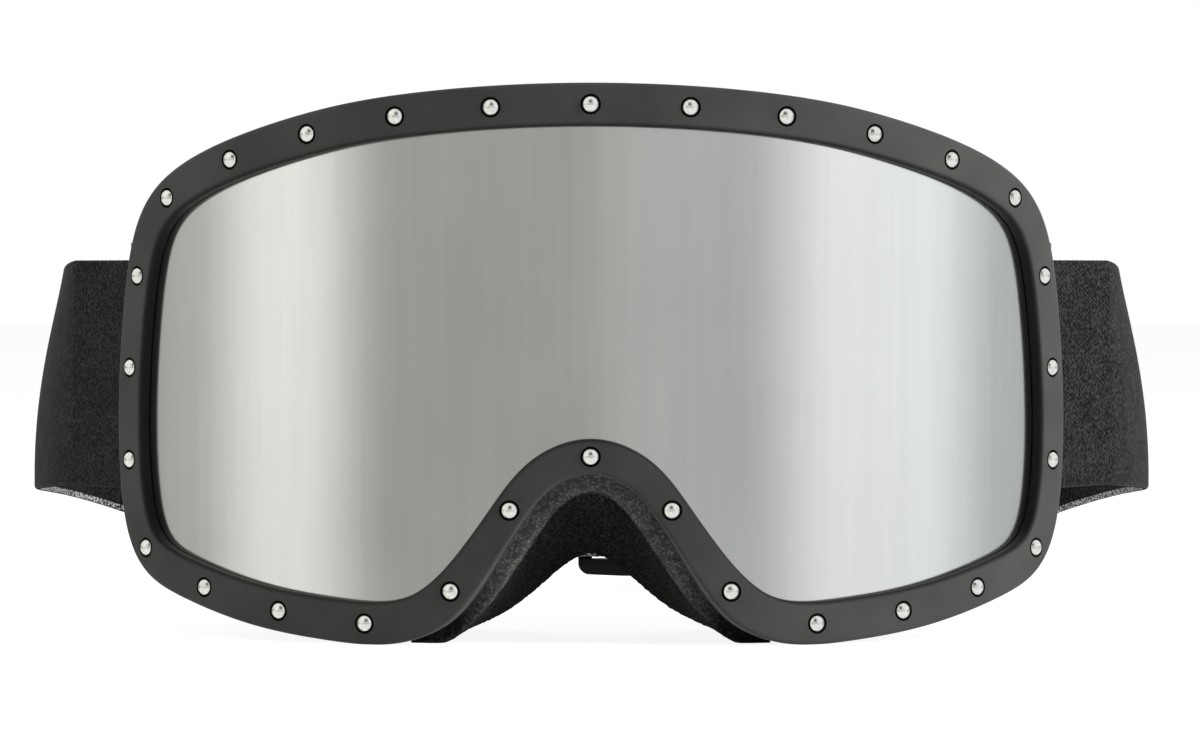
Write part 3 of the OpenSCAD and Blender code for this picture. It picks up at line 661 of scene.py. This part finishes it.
def foam(name, dark, light, pore, deep, paler=0.0):
    """Open foam: a dark ground with glints painted on the walls of some cells, and pores that the
    light doesn't reach. Where it is cut, both are paler by a factor, partly the cut face's own tone
    and partly painted light."""
    made, tree, shader, place = material(name, dark, 0.95)
    cells = add(tree, "TexVoronoi", {"Vector": place, "Scale": 1 / (pore * MM)})
    rim_of_cell = add(
        tree, "TexVoronoi", {"Vector": place, "Scale": 1 / (pore * MM)},
        feature="DISTANCE_TO_EDGE",
    ).outputs["Distance"]
    wall = ramp(tree, rim_of_cell, 0.04, 0.2, 1.0, 0.0)
    picked = add(tree, "SeparateColor", {0: cells.outputs["Color"]}).outputs[0]
    # Glints painted on the walls of some cells
    glint = calc(tree, "MULTIPLY", wall, ramp(tree, picked, 0.55, 0.95))
    mottled = shades(tree, speckle(tree, place, 2.5, 3.0), dark, tuple(1.35 * c for c in dark))
    colour = add(tree, "Mix", {0: glint, 6: mottled, 7: (*light, 1)}, data_type="RGBA")
    if paler:
        lit_cut_edge = add(tree, "Attribute", attribute_name="lit_cut_edge").outputs["Fac"]
        kept = calc(tree, "SUBTRACT", 1.0, calc(tree, "MULTIPLY", glint, 0.88))
        gain = calc(tree, "MULTIPLY", calc(tree, "MULTIPLY", lit_cut_edge, kept), paler - 1)
        gain = calc(tree, "ADD", gain, 1.0)
        colour = add(
            tree, "Mix", {0: 1.0, 6: colour.outputs[2], 7: gain},
            data_type="RGBA", blend_type="MULTIPLY",
        )
    tree.links.new(colour.outputs[2], shader.inputs["Base Color"])
    shader.inputs["Specular IOR Level"].default_value = 0.05
    bumpy(tree, shader, rim_of_cell, deep)
    return made


SPACER_FRONT = 4.0
SPACER_REAR = 6.8
SPACER_OUT = -1.4
SPACER_IN = -6.4
SPACER_ROWS = 480
spacer_profile = eased(
    [(0, 0, SPACER_OUT, SPACER_FRONT, 0), (0, 0, SPACER_OUT, SPACER_REAR, 0),
     (0, 0, SPACER_IN, SPACER_REAR, 0), (0, 0, SPACER_IN, SPACER_FRONT, 0)],
    rounds=(0.3, 0.3, 0.7, 0.7), steps=3,
)
spacer = ring("lens_spacer", SPACER_ROWS, filled(spacer_profile, spacing=0.8), sharp=60)
roughened(spacer, amount=0.08, size=0.9, seed=1)
spacer.data.materials.append(foam(
    "spacer_foam", dark=(0.022, 0.022, 0.022), light=(0.07, 0.07, 0.07), pore=0.5, deep=0.05
))
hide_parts("lens_gasket")
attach(spacer, "goggle")

# Inner lens: a thin clear sheet behind the spacer, coated against fog, so that the wearer looks
# through two lenses.
INNER_LENS_FRONT = 6.9
INNER_LENS_REAR = 7.7
inner_lens = lens("clear_lens", INNER_LENS_FRONT, INNER_LENS_REAR)[0]
clear_sheet, tree, shader, place = material("clear_sheet", (0.93, 0.95, 0.96), 0.03)
shader.inputs["Transmission Weight"].default_value = 1.0
shader.inputs["IOR"].default_value = 1.25
hazy = add(tree, "MapRange", {
    "Value": speckle(tree, place, 18), "To Min": 0.0, "To Max": 0.01,
})
tree.links.new(hazy.outputs[0], shader.inputs["Roughness"])
inner_lens.data.materials.append(clear_sheet)
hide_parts("inner_lens")
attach(inner_lens, "goggle")

# Frame: the soft plastic body behind the rim, with its side wall, rear flange, vent slots and the
# lugs that hold the strap bars. It is one moulding, with the drawing's form.
def smooth_copy(node, name, sharp, bevel=0.0):
    """A piece with a CAD node's form. A bevel makes its flat faces whole and rounds its edges."""
    mesh = cad[node].data.copy()
    mesh.materials.clear()
    made = bpy.data.objects.new(name, mesh)
    scene.collection.objects.link(made)
    form = bmesh.new()
    form.from_mesh(mesh)
    bmesh.ops.remove_doubles(form, verts=form.verts, dist=2e-6)
    if bevel:
        bmesh.ops.dissolve_limit(
            form, angle_limit=math.radians(0.5), verts=form.verts, edges=form.edges
        )
    form.to_mesh(mesh)
    form.free()
    if bevel:
        soft = made.modifiers.new("round_edges", "BEVEL")
        soft.width = bevel * MM
        soft.segments = 3
        soft.limit_method = "ANGLE"
        soft.angle_limit = math.radians(35)
        soft.harden_normals = False
        bpy.context.view_layer.update()
        seen = made.evaluated_get(bpy.context.evaluated_depsgraph_get())
        made.data = bpy.data.meshes.new_from_object(seen)
        made.modifiers.clear()
    mesh = made.data
    own_normals = mesh.attributes.get("custom_normal")
    if own_normals:
        mesh.attributes.remove(own_normals)
    mesh.polygons.foreach_set("use_smooth", [True] * len(mesh.polygons))
    mesh.set_sharp_from_angle(angle=math.radians(sharp))
    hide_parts(node)
    return made


frame_body = smooth_copy("frame_body", "vented_frame", sharp=32)
frame_body.data.materials.append(moulded(
    "soft_frame", dark=(0.022, 0.022, 0.021), light=(0.03, 0.03, 0.029), roughness=0.6, grain=0.01
))
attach(frame_body, "goggle")

# Vent foams: three strips of thin open-cell filter foam, cut from sheet and glued inside the
# frame's wall, behind the slots, to keep snow out.
RIM_ROUND = 510


def strip_of_rim(name, start, end, profile, spacing, sharp):
    """A piece that runs part of the way round the goggles, between two shares of it."""
    count = round((end - start) * RIM_ROUND / spacing)
    rows = swept(np.linspace(start, end, count + 1), profile)
    faces = tube_faces(count + 1, len(profile), False)
    return piece(name, rows.reshape(-1, 3), faces, sharp)


WALL_L = 20
WALL_FRONT_IN = 0.2
WALL_SLOPE = 2.222
WALL_LEDGE = 0.1
FRAME_FRONT = 7.8
VENT_FROM = 0.2
VENT_TO = 0.8
VENT_T = 2
VENT_GAP = 0.25
vent_rows = []
for share, thick in ((VENT_FROM, 0), (VENT_TO, 0), (VENT_TO, VENT_T), (VENT_FROM, VENT_T)):
    inside = WALL_FRONT_IN + WALL_SLOPE * (share - WALL_LEDGE) - VENT_GAP - thick
    vent_rows.append((share, 0, inside, FRAME_FRONT, share * WALL_L))
vent_profile = filled(eased(vent_rows, rounds=(0.4, 0.4, 0.4, 0.4), steps=3), spacing=0.6)
vent_foam = foam(
    "vent_filter_foam", dark=(0.014, 0.014, 0.014), light=(0.05, 0.05, 0.05), pore=0.9, deep=0.25
)
for name, node, start, end in (
    ("top_vent_filter", "top_vent_foam", -0.15, 0.15),
    ("right_vent_filter", "lower_vent_foam_right", 0.308, 0.4),
    ("left_vent_filter", "lower_vent_foam_left", 0.6, 0.692),
):
    strip = strip_of_rim(name, start, end, vent_profile, spacing=0.7, sharp=60)
    roughened(strip, amount=0.22, size=0.9, seed=2)
    strip.data.materials.append(vent_foam)
    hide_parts(node)
    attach(strip, "goggle")

# Face foam: a firm layer glued to the flange and a soft, thicker layer that swells a little between
# its glued faces, both cut from open-cell foam.
BASE_FRONT = 24.1
BASE_REAR = 30
PAD_REAR = 42
BASE_HALF = 4.55
PAD_HALF = 4.5
FOAM_ROWS = 900


def layer(front, rear, half, swell, rounding):
    """A foam layer's profile, crowned by a swell and drawn in at its glued faces."""
    steps = 9
    outer, inner = [], []
    for k in range(steps + 1):
        f = k / steps
        out = half + swell * math.sin(math.pi * f) - rounding * (2 * abs(f - 0.5)) ** 8
        outer.append((1, 0, out, FRAME_FRONT, front + (rear - front) * f))
        inner.append((1, 0, -out, FRAME_FRONT, rear + (front - rear) * f))
    return np.array(outer + inner, float)


firm_layer = layer(BASE_FRONT, BASE_REAR, BASE_HALF, swell=0.05, rounding=0.35)
soft_layer = layer(BASE_REAR + 0.1, PAD_REAR, PAD_HALF, swell=0.55, rounding=0.35)
face_foam = foam(
    "face_foam", dark=(0.016, 0.016, 0.016), light=(0.075, 0.075, 0.072), pore=0.55, deep=0.15
)
for name, node, profile, seed in (
    ("firm_face_foam", "face_foam_base", firm_layer, 3),
    ("soft_face_foam", "face_foam_pad", soft_layer, 4),
):
    ring_foam = ring(name, FOAM_ROWS, filled(profile, spacing=0.75), sharp=70)
    roughened(ring_foam, amount=0.2, size=0.8, seed=seed)
    ring_foam.data.materials.append(face_foam)
    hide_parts(node)
    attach(ring_foam, "goggle")

# Fleece: a brushed black lining with a short, felted pile. It is cut as a ring, glued over the face
# foam, and lies against the skin.
FLEECE_REAR = 43.8
FLEECE_HALF = 3.9
fleece_profile = eased(
    [(1, 0, PAD_HALF, FRAME_FRONT, PAD_REAR + 0.1), (1, 0, FLEECE_HALF, FRAME_FRONT, FLEECE_REAR),
     (1, 0, -FLEECE_HALF, FRAME_FRONT, FLEECE_REAR),
     (1, 0, -PAD_HALF, FRAME_FRONT, PAD_REAR + 0.1)],
    rounds=(0.2, 0.9, 0.9, 0.2), steps=5,
)
fleece = ring("brushed_fleece", FOAM_ROWS, filled(fleece_profile, spacing=0.55), sharp=70)
roughened(fleece, amount=0.16, size=0.6, seed=5)
fleece_cloth, tree, shader, place = material("fleece_pile", (0.012, 0.012, 0.013), 1.0)
pile = speckle(tree, place, 0.35, 4.0)
tree.links.new(
    shades(tree, pile, (0.008, 0.008, 0.009), (0.024, 0.024, 0.026)), shader.inputs["Base Color"]
)
shader.inputs["Sheen Weight"].default_value = 0.5
shader.inputs["Sheen Roughness"].default_value = 0.6
shader.inputs["Specular IOR Level"].default_value = 0.1
bumpy(tree, shader, pile, 0.25)
fleece.data.materials.append(fleece_cloth)
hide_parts("face_fleece")
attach(fleece, "goggle")

# Nose foam: a strip glued under the frame's arch. It bulges just behind the rim, where its cut edge
# is coloured paler, partly as the cut face's own tone and partly as painted light on a face that
# the rim shades, and it thins to a soft flap that meets the face foam.
NOSE_OUT_FRONT = 2.45
NOSE_OUT_REAR = 4.45
NOSE_EDGE_T = 3.4
NOSE_BULGE_T = 3.8
NOSE_FLAP_T = 0.8
NOSE_FRONT = 0.2
NOSE_BULGE_AT = 2.2
NOSE_REAR = 19.8
NOSE_FROM = 0.408
NOSE_TO = 0.592
nose_corners = [
    (0, 0, NOSE_OUT_FRONT, FRAME_FRONT, NOSE_FRONT),
    (0, 0, NOSE_OUT_FRONT + NOSE_EDGE_T, FRAME_FRONT, NOSE_FRONT),
    (0.1, 0, NOSE_OUT_FRONT + NOSE_BULGE_T, FRAME_FRONT, NOSE_BULGE_AT),
    (1, 0, NOSE_OUT_REAR + NOSE_FLAP_T, FRAME_FRONT, NOSE_REAR),
    (1, 0, NOSE_OUT_REAR, FRAME_FRONT, NOSE_REAR),
]
nose_profile = filled(eased(nose_corners, rounds=(0.1, 0.8, 1.6, 0.3, 0.1), steps=6), spacing=0.4)
nose_foam = strip_of_rim(
    "nose_foam_strip", NOSE_FROM, NOSE_TO, nose_profile, spacing=0.4, sharp=70
)
# The cut edge's paler colour, partly painted light, fades out 1.5 mm behind the rim, and 24 mm to
# each side of the nose
EDGE_DEEP = 1.5
EDGE_HALF = 24
x, y, z = np.array([v.co for v in nose_foam.data.vertices]).T / MM
behind_rim = y - RIM_FRONT - WRAP_R + np.sqrt((WRAP_R - FRAME_FRONT) ** 2 - x ** 2)
lit_cut_edge = nose_foam.data.attributes.new("lit_cut_edge", "FLOAT", "POINT")
near_rim = np.clip((EDGE_DEEP - behind_rim) / 0.6, 0, 1)
near_nose = np.clip((EDGE_HALF - np.abs(x)) / 8, 0, 1)
lit_cut_edge.data.foreach_set("value", near_rim * near_nose)
roughened(nose_foam, amount=0.14, size=0.45, seed=6)
nose_foam.data.materials.append(foam(
    "nose_foam", dark=(0.005, 0.005, 0.0048), light=(0.055, 0.054, 0.05),
    pore=0.34, deep=0.12, paler=9.0,
))
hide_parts("nose_foam")
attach(nose_foam, "goggle")

# Strap bars: two straight pins of drawn steel wire, one on each side. Each is cut to length and
# rounded at its ends, and is pressed into the frame's lugs.
bar_steel, tree, shader, place = material("drawn_wire", (0.56, 0.56, 0.55), 0.3, 1.0)
drawn = add(tree, "Mapping", {"Vector": place, "Scale": (1, 1, 0.03)}).outputs[0]
tree.links.new(
    shades(tree, speckle(tree, drawn, 0.25, 3.0), (0.42, 0.42, 0.41), (0.62, 0.62, 0.6)),
    shader.inputs["Base Color"],
)
bumpy(tree, shader, speckle(tree, drawn, 0.2), 0.01)
for where in ("left", "right"):
    bar = smooth_copy(f"strap_bar_{where}", f"wire_bar_{where}", sharp=40, bevel=0.35)
    bar.data.materials.append(bar_steel)
    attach(bar, "goggle")

# Side straps: elastic webbing, woven as a fine black twill, with a paler selvedge on its inside.
# Each end runs round its bar and back along its own inside, where two rows of stitches hold it. The
# band hangs lower towards the back, its middle bulges and its lower edge leans out.
STRAP_W = 44
STRAP_T = 1.4
YARN = 0.56
YARN_UP = 0.29
TWILL = (0.0, 0.1, 0.075)
SELVEDGE = 1.2
# The faces stop short of the edges, where the weft yarn turns in a coil
EDGE_BARE = 0.3
COIL_R = 0.17
COIL_SIDES = 5
COIL_IN = 0.32
COIL_SWAY = 0.12
COIL_STAND = 0.34
STRAP_Z = 48.685
BACK_Z = 29
BAR = np.array([85.6, 56.0023])
LEAVE_ANGLE = math.radians(57)
LEAVE = np.array([math.cos(LEAVE_ANGLE), math.sin(LEAVE_ANGLE)])
LEAVE_OUT = np.array([math.sin(LEAVE_ANGLE), -math.cos(LEAVE_ANGLE)])
LOOP_R = 2.3
END_L = 24
END_SEWN = 21
END_CLOSED = 8
END_SEAMS = (10.5, 19)


def evenly(path, step):
    """A flat path with points at even steps, close to a step apart."""
    path = np.asarray(path, float)
    lengths = np.concatenate([[0], np.cumsum(np.linalg.norm(np.diff(path, axis=0), axis=1))])
    count = max(2, round(lengths[-1] / step))
    at = np.linspace(0, lengths[-1], count + 1)
    return np.stack([np.interp(at, lengths, path[:, k]) for k in (0, 1)], -1)


def arc(middle, radius, start, end, steps=24):
    """Points on an arc, between two angles in degrees."""
    angles = np.radians(np.linspace(start, end, steps + 1))
    return np.stack([middle[0] + radius * np.cos(angles), middle[1] + radius * np.sin(angles)], -1)


def webbing(name, middle, up, out, bow=0.0, phase=0, tight=1.0):
    """A twill band over rows of middle points, with up and out directions and a bow for each, in
    mm. The ribs climb one step along for each step across, and yarn turns show at both edges.
    phase carries on the ribs of the piece before, and tight scales their relief."""
    rows = len(middle)
    columns = round(STRAP_W / YARN_UP)
    across = np.linspace(-0.5, 0.5, columns + 1) * (STRAP_W - EDGE_BARE)
    edge = np.clip((STRAP_W / 2 - np.abs(across)) / (STRAP_T / 2), 0.1, 1)
    full = np.sqrt(1 - (1 - edge) ** 2)
    i = np.arange(rows)[:, None]
    j = np.arange(columns + 1)[None, :]
    relief = np.array(TWILL)
    front = (STRAP_T / 2 - relief[(i + phase + j) % 3] * tight) * full[None, :]
    rear = (STRAP_T / 2 - relief[(i + phase - j) % 3] * tight) * full[None, :]
    bulge = np.broadcast_to(bow, rows)[:, None] * (1 - (across / STRAP_W * 2) ** 2)[None, :]
    line = middle[:, None, :] + up[:, None, :] * across[None, :, None]
    line = line + out[:, None, :] * bulge[..., None]
    outer = line + out[:, None, :] * front[..., None]
    inner = line - out[:, None, :] * rear[..., None]
    loop = np.concatenate([outer, inner[:, ::-1]], axis=1)
    girth = 2 * (columns + 1)
    faces = []
    for r in range(rows - 1):
        for k in range(girth):
            a = r * girth + k
            b = r * girth + (k + 1) % girth
            faces.append((a, b, b + girth, a + girth))
    for r, turn in ((0, -1), (rows - 1, 1)):
        for k in range(columns):
            a = r * girth + k
            b = r * girth + girth - 1 - k
            faces.append((a, b, b - 1, a + 1)[::turn])
    kinds = np.zeros(len(faces), int)
    mid = np.abs((across[1:] + across[:-1]) / 2)
    selvedge = np.zeros(girth, int)
    selvedge[columns + 1:girth - 1] = (mid > STRAP_W / 2 - SELVEDGE)[::-1]
    kinds[:(rows - 1) * girth] = np.tile(selvedge, rows - 1)
    sunk = np.concatenate([
        np.broadcast_to(relief[(i + phase + j) % 3], (rows, columns + 1)),
        np.broadcast_to(relief[(i + phase - j) % 3], (rows, columns + 1))[:, ::-1],
    ], axis=1).ravel() / relief.max()
    points = [loop.reshape(-1, 3)]
    start = rows * girth
    # The weft yarn's turns round each edge, as a thin coil
    turns = np.arange((rows - 1) * 2 + 1) / 2
    row = np.minimum(turns.astype(int), rows - 2)
    f = (turns - row)[:, None]
    line_mid = middle[row] * (1 - f) + middle[row + 1] * f
    line_up = up[row] * (1 - f) + up[row + 1] * f
    line_out = out[row] * (1 - f) + out[row + 1] * f
    for side in (-1, 1):
        angle = turns * 2 * math.pi / 3 * side
        reach = side * (STRAP_W / 2 - COIL_IN + COIL_SWAY * np.cos(angle))[:, None]
        stand = (COIL_STAND * np.sin(angle))[:, None]
        core = line_mid + line_up * reach + line_out * stand
        along = np.gradient(core, axis=0)
        along /= np.linalg.norm(along, axis=1)[:, None]
        one = line_up - along * (line_up * along).sum(1)[:, None]
        one /= np.linalg.norm(one, axis=1)[:, None]
        two = np.cross(along, one)
        ring_points = []
        for k in range(COIL_SIDES):
            a = 2 * math.pi * k / COIL_SIDES
            ring_points.append(core + (one * math.cos(a) + two * math.sin(a)) * COIL_R)
        coil = np.stack(ring_points, axis=1)
        points.append(coil.reshape(-1, 3))
        coil_faces = tube_faces(len(core), COIL_SIDES, False)
        faces += [tuple(start + k for k in face) for face in coil_faces]
        start += len(core) * COIL_SIDES
    all_points = np.concatenate(points)
    all_points[:, 1] += RIM_FRONT
    all_points[:, 2] = np.maximum(all_points[:, 2], 0.02)
    made = piece(name, all_points * MM, faces, sharp=75)
    made.data.materials.append(strap_twill)
    made.data.materials.append(edge_yarn)
    kinds = np.concatenate([kinds, np.zeros(len(faces) - len(kinds), int)])
    made.data.polygons.foreach_set("material_index", kinds)
    # How sunk each point lies, for the twill's painted valley shade; the coils take half
    on_coils = np.full(len(all_points) - len(sunk), 0.5)
    valley_shade = made.data.attributes.new("valley_shade", "FLOAT", "POINT")
    valley_shade.data.foreach_set("value", np.concatenate([sunk, on_coils]))
    return made


def upright(path, height, turn=1.0):
    """Rows for webbing that stands upright along a flat path. turn is -1 where its outside is on
    the left of the way that the path runs."""
    d = np.gradient(path, axis=0)
    d /= np.linalg.norm(d, axis=1)[:, None]
    middle = np.column_stack([path, np.full(len(path), height)])
    up = np.tile([0.0, 0.0, 1.0], (len(path), 1))
    out = np.column_stack([d[:, 1] * turn, -d[:, 0] * turn, np.zeros(len(path))])
    return middle, up, out


def mirror_rows(rows, side):
    """The same rows on the left, or as they are on the right."""
    if side == "right":
        return rows
    flip = np.array([-1.0, 1.0, 1.0])
    return tuple(part * flip for part in rows[:3]) + rows[3:]


def twill(name, dark, light, ribbed):
    """Woven yarn: painted shade in the valleys between paler crests, and a fine bump of its
    threads.
    Yarn that isn't ribbed is flecked instead."""
    made, tree, shader, place = material(name, dark, 0.9)
    yarn = speckle(tree, place, 0.6 if ribbed else 0.42, 3.0)
    patch = calc(tree, "MULTIPLY", speckle(tree, place, 5.0, 2.0), 0.15)
    value = calc(tree, "ADD", calc(tree, "MULTIPLY", yarn, 0.85), patch)
    if ribbed:
        # Painted shade darkens the colour in the valleys between the ribs
        valley_shade = add(tree, "Attribute", attribute_name="valley_shade").outputs["Fac"]
        value = calc(tree, "SUBTRACT", value, calc(tree, "MULTIPLY", valley_shade, 0.22))
        value = calc(tree, "ADD", value, 0.1)
    low, high = (0.42, 0.56) if ribbed else (0.46, 0.56)
    tree.links.new(shades(tree, value, dark, light, low, high), shader.inputs["Base Color"])
    shader.inputs["Sheen Weight"].default_value = 0.04
    shader.inputs["Sheen Roughness"].default_value = 0.4
    shader.inputs["Specular IOR Level"].default_value = 0.12
    bumpy(tree, shader, yarn, 0.05)
    return made


strap_twill = twill("strap_twill", (0.001, 0.001, 0.001), (0.019, 0.0178, 0.0187), ribbed=True)
edge_yarn = twill("edge_yarn", (0.004, 0.004, 0.004), (0.42, 0.41, 0.41), ribbed=False)
thread = twill("black_thread", (0.008, 0.008, 0.008), (0.02, 0.02, 0.02), ribbed=False)
STITCHES = 15
STITCH_STEP = 2.8
STITCH_FLAT = 0.7


def stitches(name, body, height, rows):
    """Upright rows of short sewn threads round a height: each row has a flat place in mm, and the
    way that it faces."""
    shape, shape_faces = turned(
        [(0.04, -1.1), (0.13, -0.9), (0.17, -0.5), (0.17, 0.5), (0.13, 0.9), (0.04, 1.1)], sides=8
    )
    up = np.array([0, 0, 1.0])
    points, faces = [], []
    for place, facing in rows:
        out = np.array([*facing, 0])
        aside = np.cross(up, out)
        form = shape[:, 2:3] * up + shape[:, 0:1] * aside + shape[:, 1:2] * out * STITCH_FLAT
        for step in range(STITCHES):
            at = np.array([*place, height + (step - STITCHES // 2) * STITCH_STEP])
            first = len(points) * len(shape)
            points.append(at + form)
            faces += [tuple(first + k for k in face) for face in shape_faces]
    points = np.concatenate(points)
    points[:, 1] += RIM_FRONT
    made = piece(name, points * MM, faces)
    made.data.materials.append(thread)
    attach(made, body)
    return made


outer_foot = BAR + LEAVE_OUT * LOOP_R
end_point = outer_foot + LEAVE * END_L
beside = outer_foot - LEAVE_OUT * (STRAP_T - 0.05)
turn_from = math.degrees(LEAVE_ANGLE) - 90
end_path = np.concatenate([
    [beside + LEAVE * END_SEWN, beside + LEAVE * END_CLOSED],
    arc(BAR, LOOP_R, turn_from - 180, turn_from), [end_point],
])
end_rows = upright(evenly(end_path, YARN), STRAP_Z)

BACK_Y = 183
STRAIGHT_X = 66.2
LEAN = math.radians(11)
BOW = 2.4
EVEN_DROP = 0.4
SIDE_LINE = ((21.2, 0.32), (22.4, 0.5), (17.6, 0.73), (9.8, 0.87), (-1.9, 0.957))
SIDE_STRETCHES = 3
STRETCHES = 6
side_points = np.array(
    [end_point - LEAVE * END_L, end_point]
    + [(BAR[0] + out, BAR[1] + share * (BACK_Y - BAR[1])) for out, share in SIDE_LINE]
    + [(STRAIGHT_X, BACK_Y), (STRAIGHT_X - END_L, BACK_Y)]
)


def side_curve(at):
    """Points on the smooth curve through the side points, counted in stretches."""
    i = np.minimum(at.astype(int), len(side_points) - 4)
    f = (at - i)[:, None]
    a, b, c, d = (side_points[i + k] for k in range(4))
    return 0.5 * (
        2 * b + f * (c - a) + f * f * (2 * a - 5 * b + 4 * c - d)
        + f ** 3 * (3 * b - a - 3 * c + d)
    )


def side_rows(start, end):
    """Rows of the side strap between two counts of stretches."""
    fine = np.linspace(start, end, 400)
    curve = side_curve(fine)
    lengths = np.concatenate([[0], np.cumsum(np.linalg.norm(np.diff(curve, axis=0), axis=1))])
    count = round(lengths[-1] / YARN)
    at = np.interp(np.linspace(0, lengths[-1], count + 1), lengths, fine)
    path = side_curve(at)
    d = side_curve(np.minimum(at + 0.02, STRETCHES)) - side_curve(np.maximum(at - 0.02, 0))
    d /= np.linalg.norm(d, axis=1)[:, None]
    out = np.stack([d[:, 1], -d[:, 0]], -1)
    # The first and last sixth of a stretch turn to face as the pieces beside them do
    for towards, away in ((LEAVE_OUT, at), (np.array([0, 1.0]), STRETCHES - at)):
        w = np.clip(1 - away * 6, 0, 1)[:, None]
        out = out * (1 - w) + towards * w
    out /= np.linalg.norm(out, axis=1)[:, None]
    way = np.clip((path[:, 1] - end_point[1]) / (BACK_Y - end_point[1]), 0, 1)
    widest = np.sin(math.pi * way)
    lean = LEAN * widest
    hang = EVEN_DROP * way + (1 - EVEN_DROP) * way ** 7
    height = STRAP_Z + (BACK_Z - STRAP_Z) * hang
    cos, sin = np.cos(lean)[:, None], np.sin(lean)[:, None]
    up = np.column_stack([-out * sin, cos])
    thick = np.column_stack([out * cos, sin])
    return np.column_stack([path, height]), up, thick, BOW * widest


side = tuple(
    np.concatenate([sewn[:-1], free])
    for sewn, free in zip(
        (*end_rows, np.zeros(len(end_rows[0]))), side_rows(0, SIDE_STRETCHES)
    )
)
corner = side_rows(SIDE_STRETCHES, STRETCHES)
side_steps = len(side[0]) - 1
corner_steps = len(corner[0]) - 1
for where in ("left", "right"):
    band = webbing(f"side_webbing_{where}", *mirror_rows(side, where))
    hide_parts(f"strap_end_{where}", f"strap_side_{where}")
    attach(band, f"strap_side_{where}")
    flip = np.array([-1.0 if where == "left" else 1.0, 1.0])
    stitches(f"end_stitches_{where}", f"strap_side_{where}", STRAP_Z, [
        ((outer_foot + LEAVE * along + LEAVE_OUT * off) * flip, LEAVE_OUT * flip)
        for along in END_SEAMS
        for off in (STRAP_T / 2 - 0.3, -STRAP_T * 1.5 + 0.13)
    ])

# Strap corners: the stretch of webbing round each rear corner.
for where, sign, bodies in (
    ("left", -1, ("strap_side_left", "strap_back")),
    ("right", 1, ("strap_side_right", "strap_back")),
):
    band = webbing(f"corner_webbing_{where}", *mirror_rows(corner, where), phase=side_steps)
    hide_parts(f"strap_corner_{where}")
    first, last = corner[0][0], corner[0][-1]
    start = (sign * first[0] * MM, (first[1] + RIM_FRONT) * MM, BACK_Z * MM)
    end = (sign * last[0] * MM, (last[1] + RIM_FRONT) * MM, BACK_Z * MM)
    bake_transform(band)

# Back of the strap: the left webbing runs along the back, turns round the ring's left bar and comes
# back; the right webbing ends in a sewn loop round the ring's right bar.
RING_X = 40
RING_L = 12
RING_Y = 181
TAIL_Y = 179
SMALL_LOOP_R = 2.0
RETURN_L = 4
RING_SEAMS = (6.5, 11)
back_left_path = np.concatenate([
    [(-STRAIGHT_X, BACK_Y)], arc((RING_X, RING_Y), SMALL_LOOP_R, 90, -90),
    [(RING_X - RETURN_L, TAIL_Y)],
])
rows = upright(evenly(back_left_path, YARN), BACK_Z, -1.0)
back_left = webbing("back_webbing_left", *rows, phase=side_steps + corner_steps)
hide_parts("strap_back_left")
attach(back_left, "strap_back")
second_x = RING_X + RING_L
fold_y = BACK_Y - STRAP_T + 0.05
back_right_path = np.concatenate([
    [(STRAIGHT_X, BACK_Y)], arc((second_x, RING_Y), SMALL_LOOP_R, 90, 270),
    [(second_x + 1, TAIL_Y), (second_x + 5, fold_y), (STRAIGHT_X - 1, fold_y)],
])
rows = upright(evenly(back_right_path, YARN), BACK_Z, 1.0)
back_right = webbing("back_webbing_right", *rows, phase=side_steps + corner_steps)
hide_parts("strap_back_right")
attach(back_right, "strap_back")
stitches("back_stitches", "strap_back", BACK_Z, [
    ((second_x + along, y), (0, facing))
    for along in RING_SEAMS
    for y, facing in ((BACK_Y + STRAP_T / 2 - 0.02, 1.0), (fold_y - STRAP_T / 2 + 0.02, -1.0))
])

# Ring: a flat rectangle, moulded in smooth black plastic. It joins the two halves of the strap,
# each of which turns round one of its upright bars.
adjuster_plastic = moulded(
    "smooth_adjuster", dark=(0.004, 0.004, 0.005), light=(0.006, 0.006, 0.007),
    roughness=0.24, grain=0.004, shine=0.06,
)
strap_ring = smooth_copy("strap_ring", "joining_ring", sharp=40, bevel=0.5)
strap_ring.data.materials.append(adjuster_plastic)
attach(strap_ring, "strap_back")

# Tail: the returning webbing between the ring and the slider, and its end, sewn round the slider's
# middle bar.
SLIDER_X = 11
MID_BAR_Y = 179.45
SEWN_L = 11
SLIDER_SEAMS = (5.5, 9.5)
tail_path = [(RING_X - RETURN_L, TAIL_Y), (SLIDER_X + SEWN_L, TAIL_Y)]
tail = webbing("returning_webbing", *upright(evenly(tail_path, YARN), BACK_Z, 1.0))
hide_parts("strap_tail")
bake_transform(tail)
loop_path = np.concatenate([
    [(SLIDER_X + SEWN_L, TAIL_Y), (SLIDER_X + 5, TAIL_Y)],
    arc((SLIDER_X, MID_BAR_Y), SMALL_LOOP_R, 300, 60),
    [(SLIDER_X + 4, TAIL_Y + STRAP_T), (SLIDER_X + SEWN_L, TAIL_Y + STRAP_T)],
])
tail_loop = webbing("slider_loop", *upright(evenly(loop_path, YARN), BACK_Z, 1.0), tight=0.8)
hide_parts("tail_loop")
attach(tail_loop, "slider")
stitches("loop_stitches", "slider", BACK_Z, [
    ((SLIDER_X + along, y), (0, facing))
    for along in SLIDER_SEAMS
    for y, facing in ((TAIL_Y - STRAP_T / 2 + 0.02, -1.0), (TAIL_Y + STRAP_T * 1.5 - 0.02, 1.0))
])

# Slider: a three-bar adjuster of the same smooth plastic. The webbing passes in front of its two
# outer bars, and the strap's end is sewn round its middle bar.
slider = smooth_copy("slider", "three_bar_slider", sharp=40, bevel=0.6)
slider.data.materials.append(adjuster_plastic)
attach(slider, "slider")
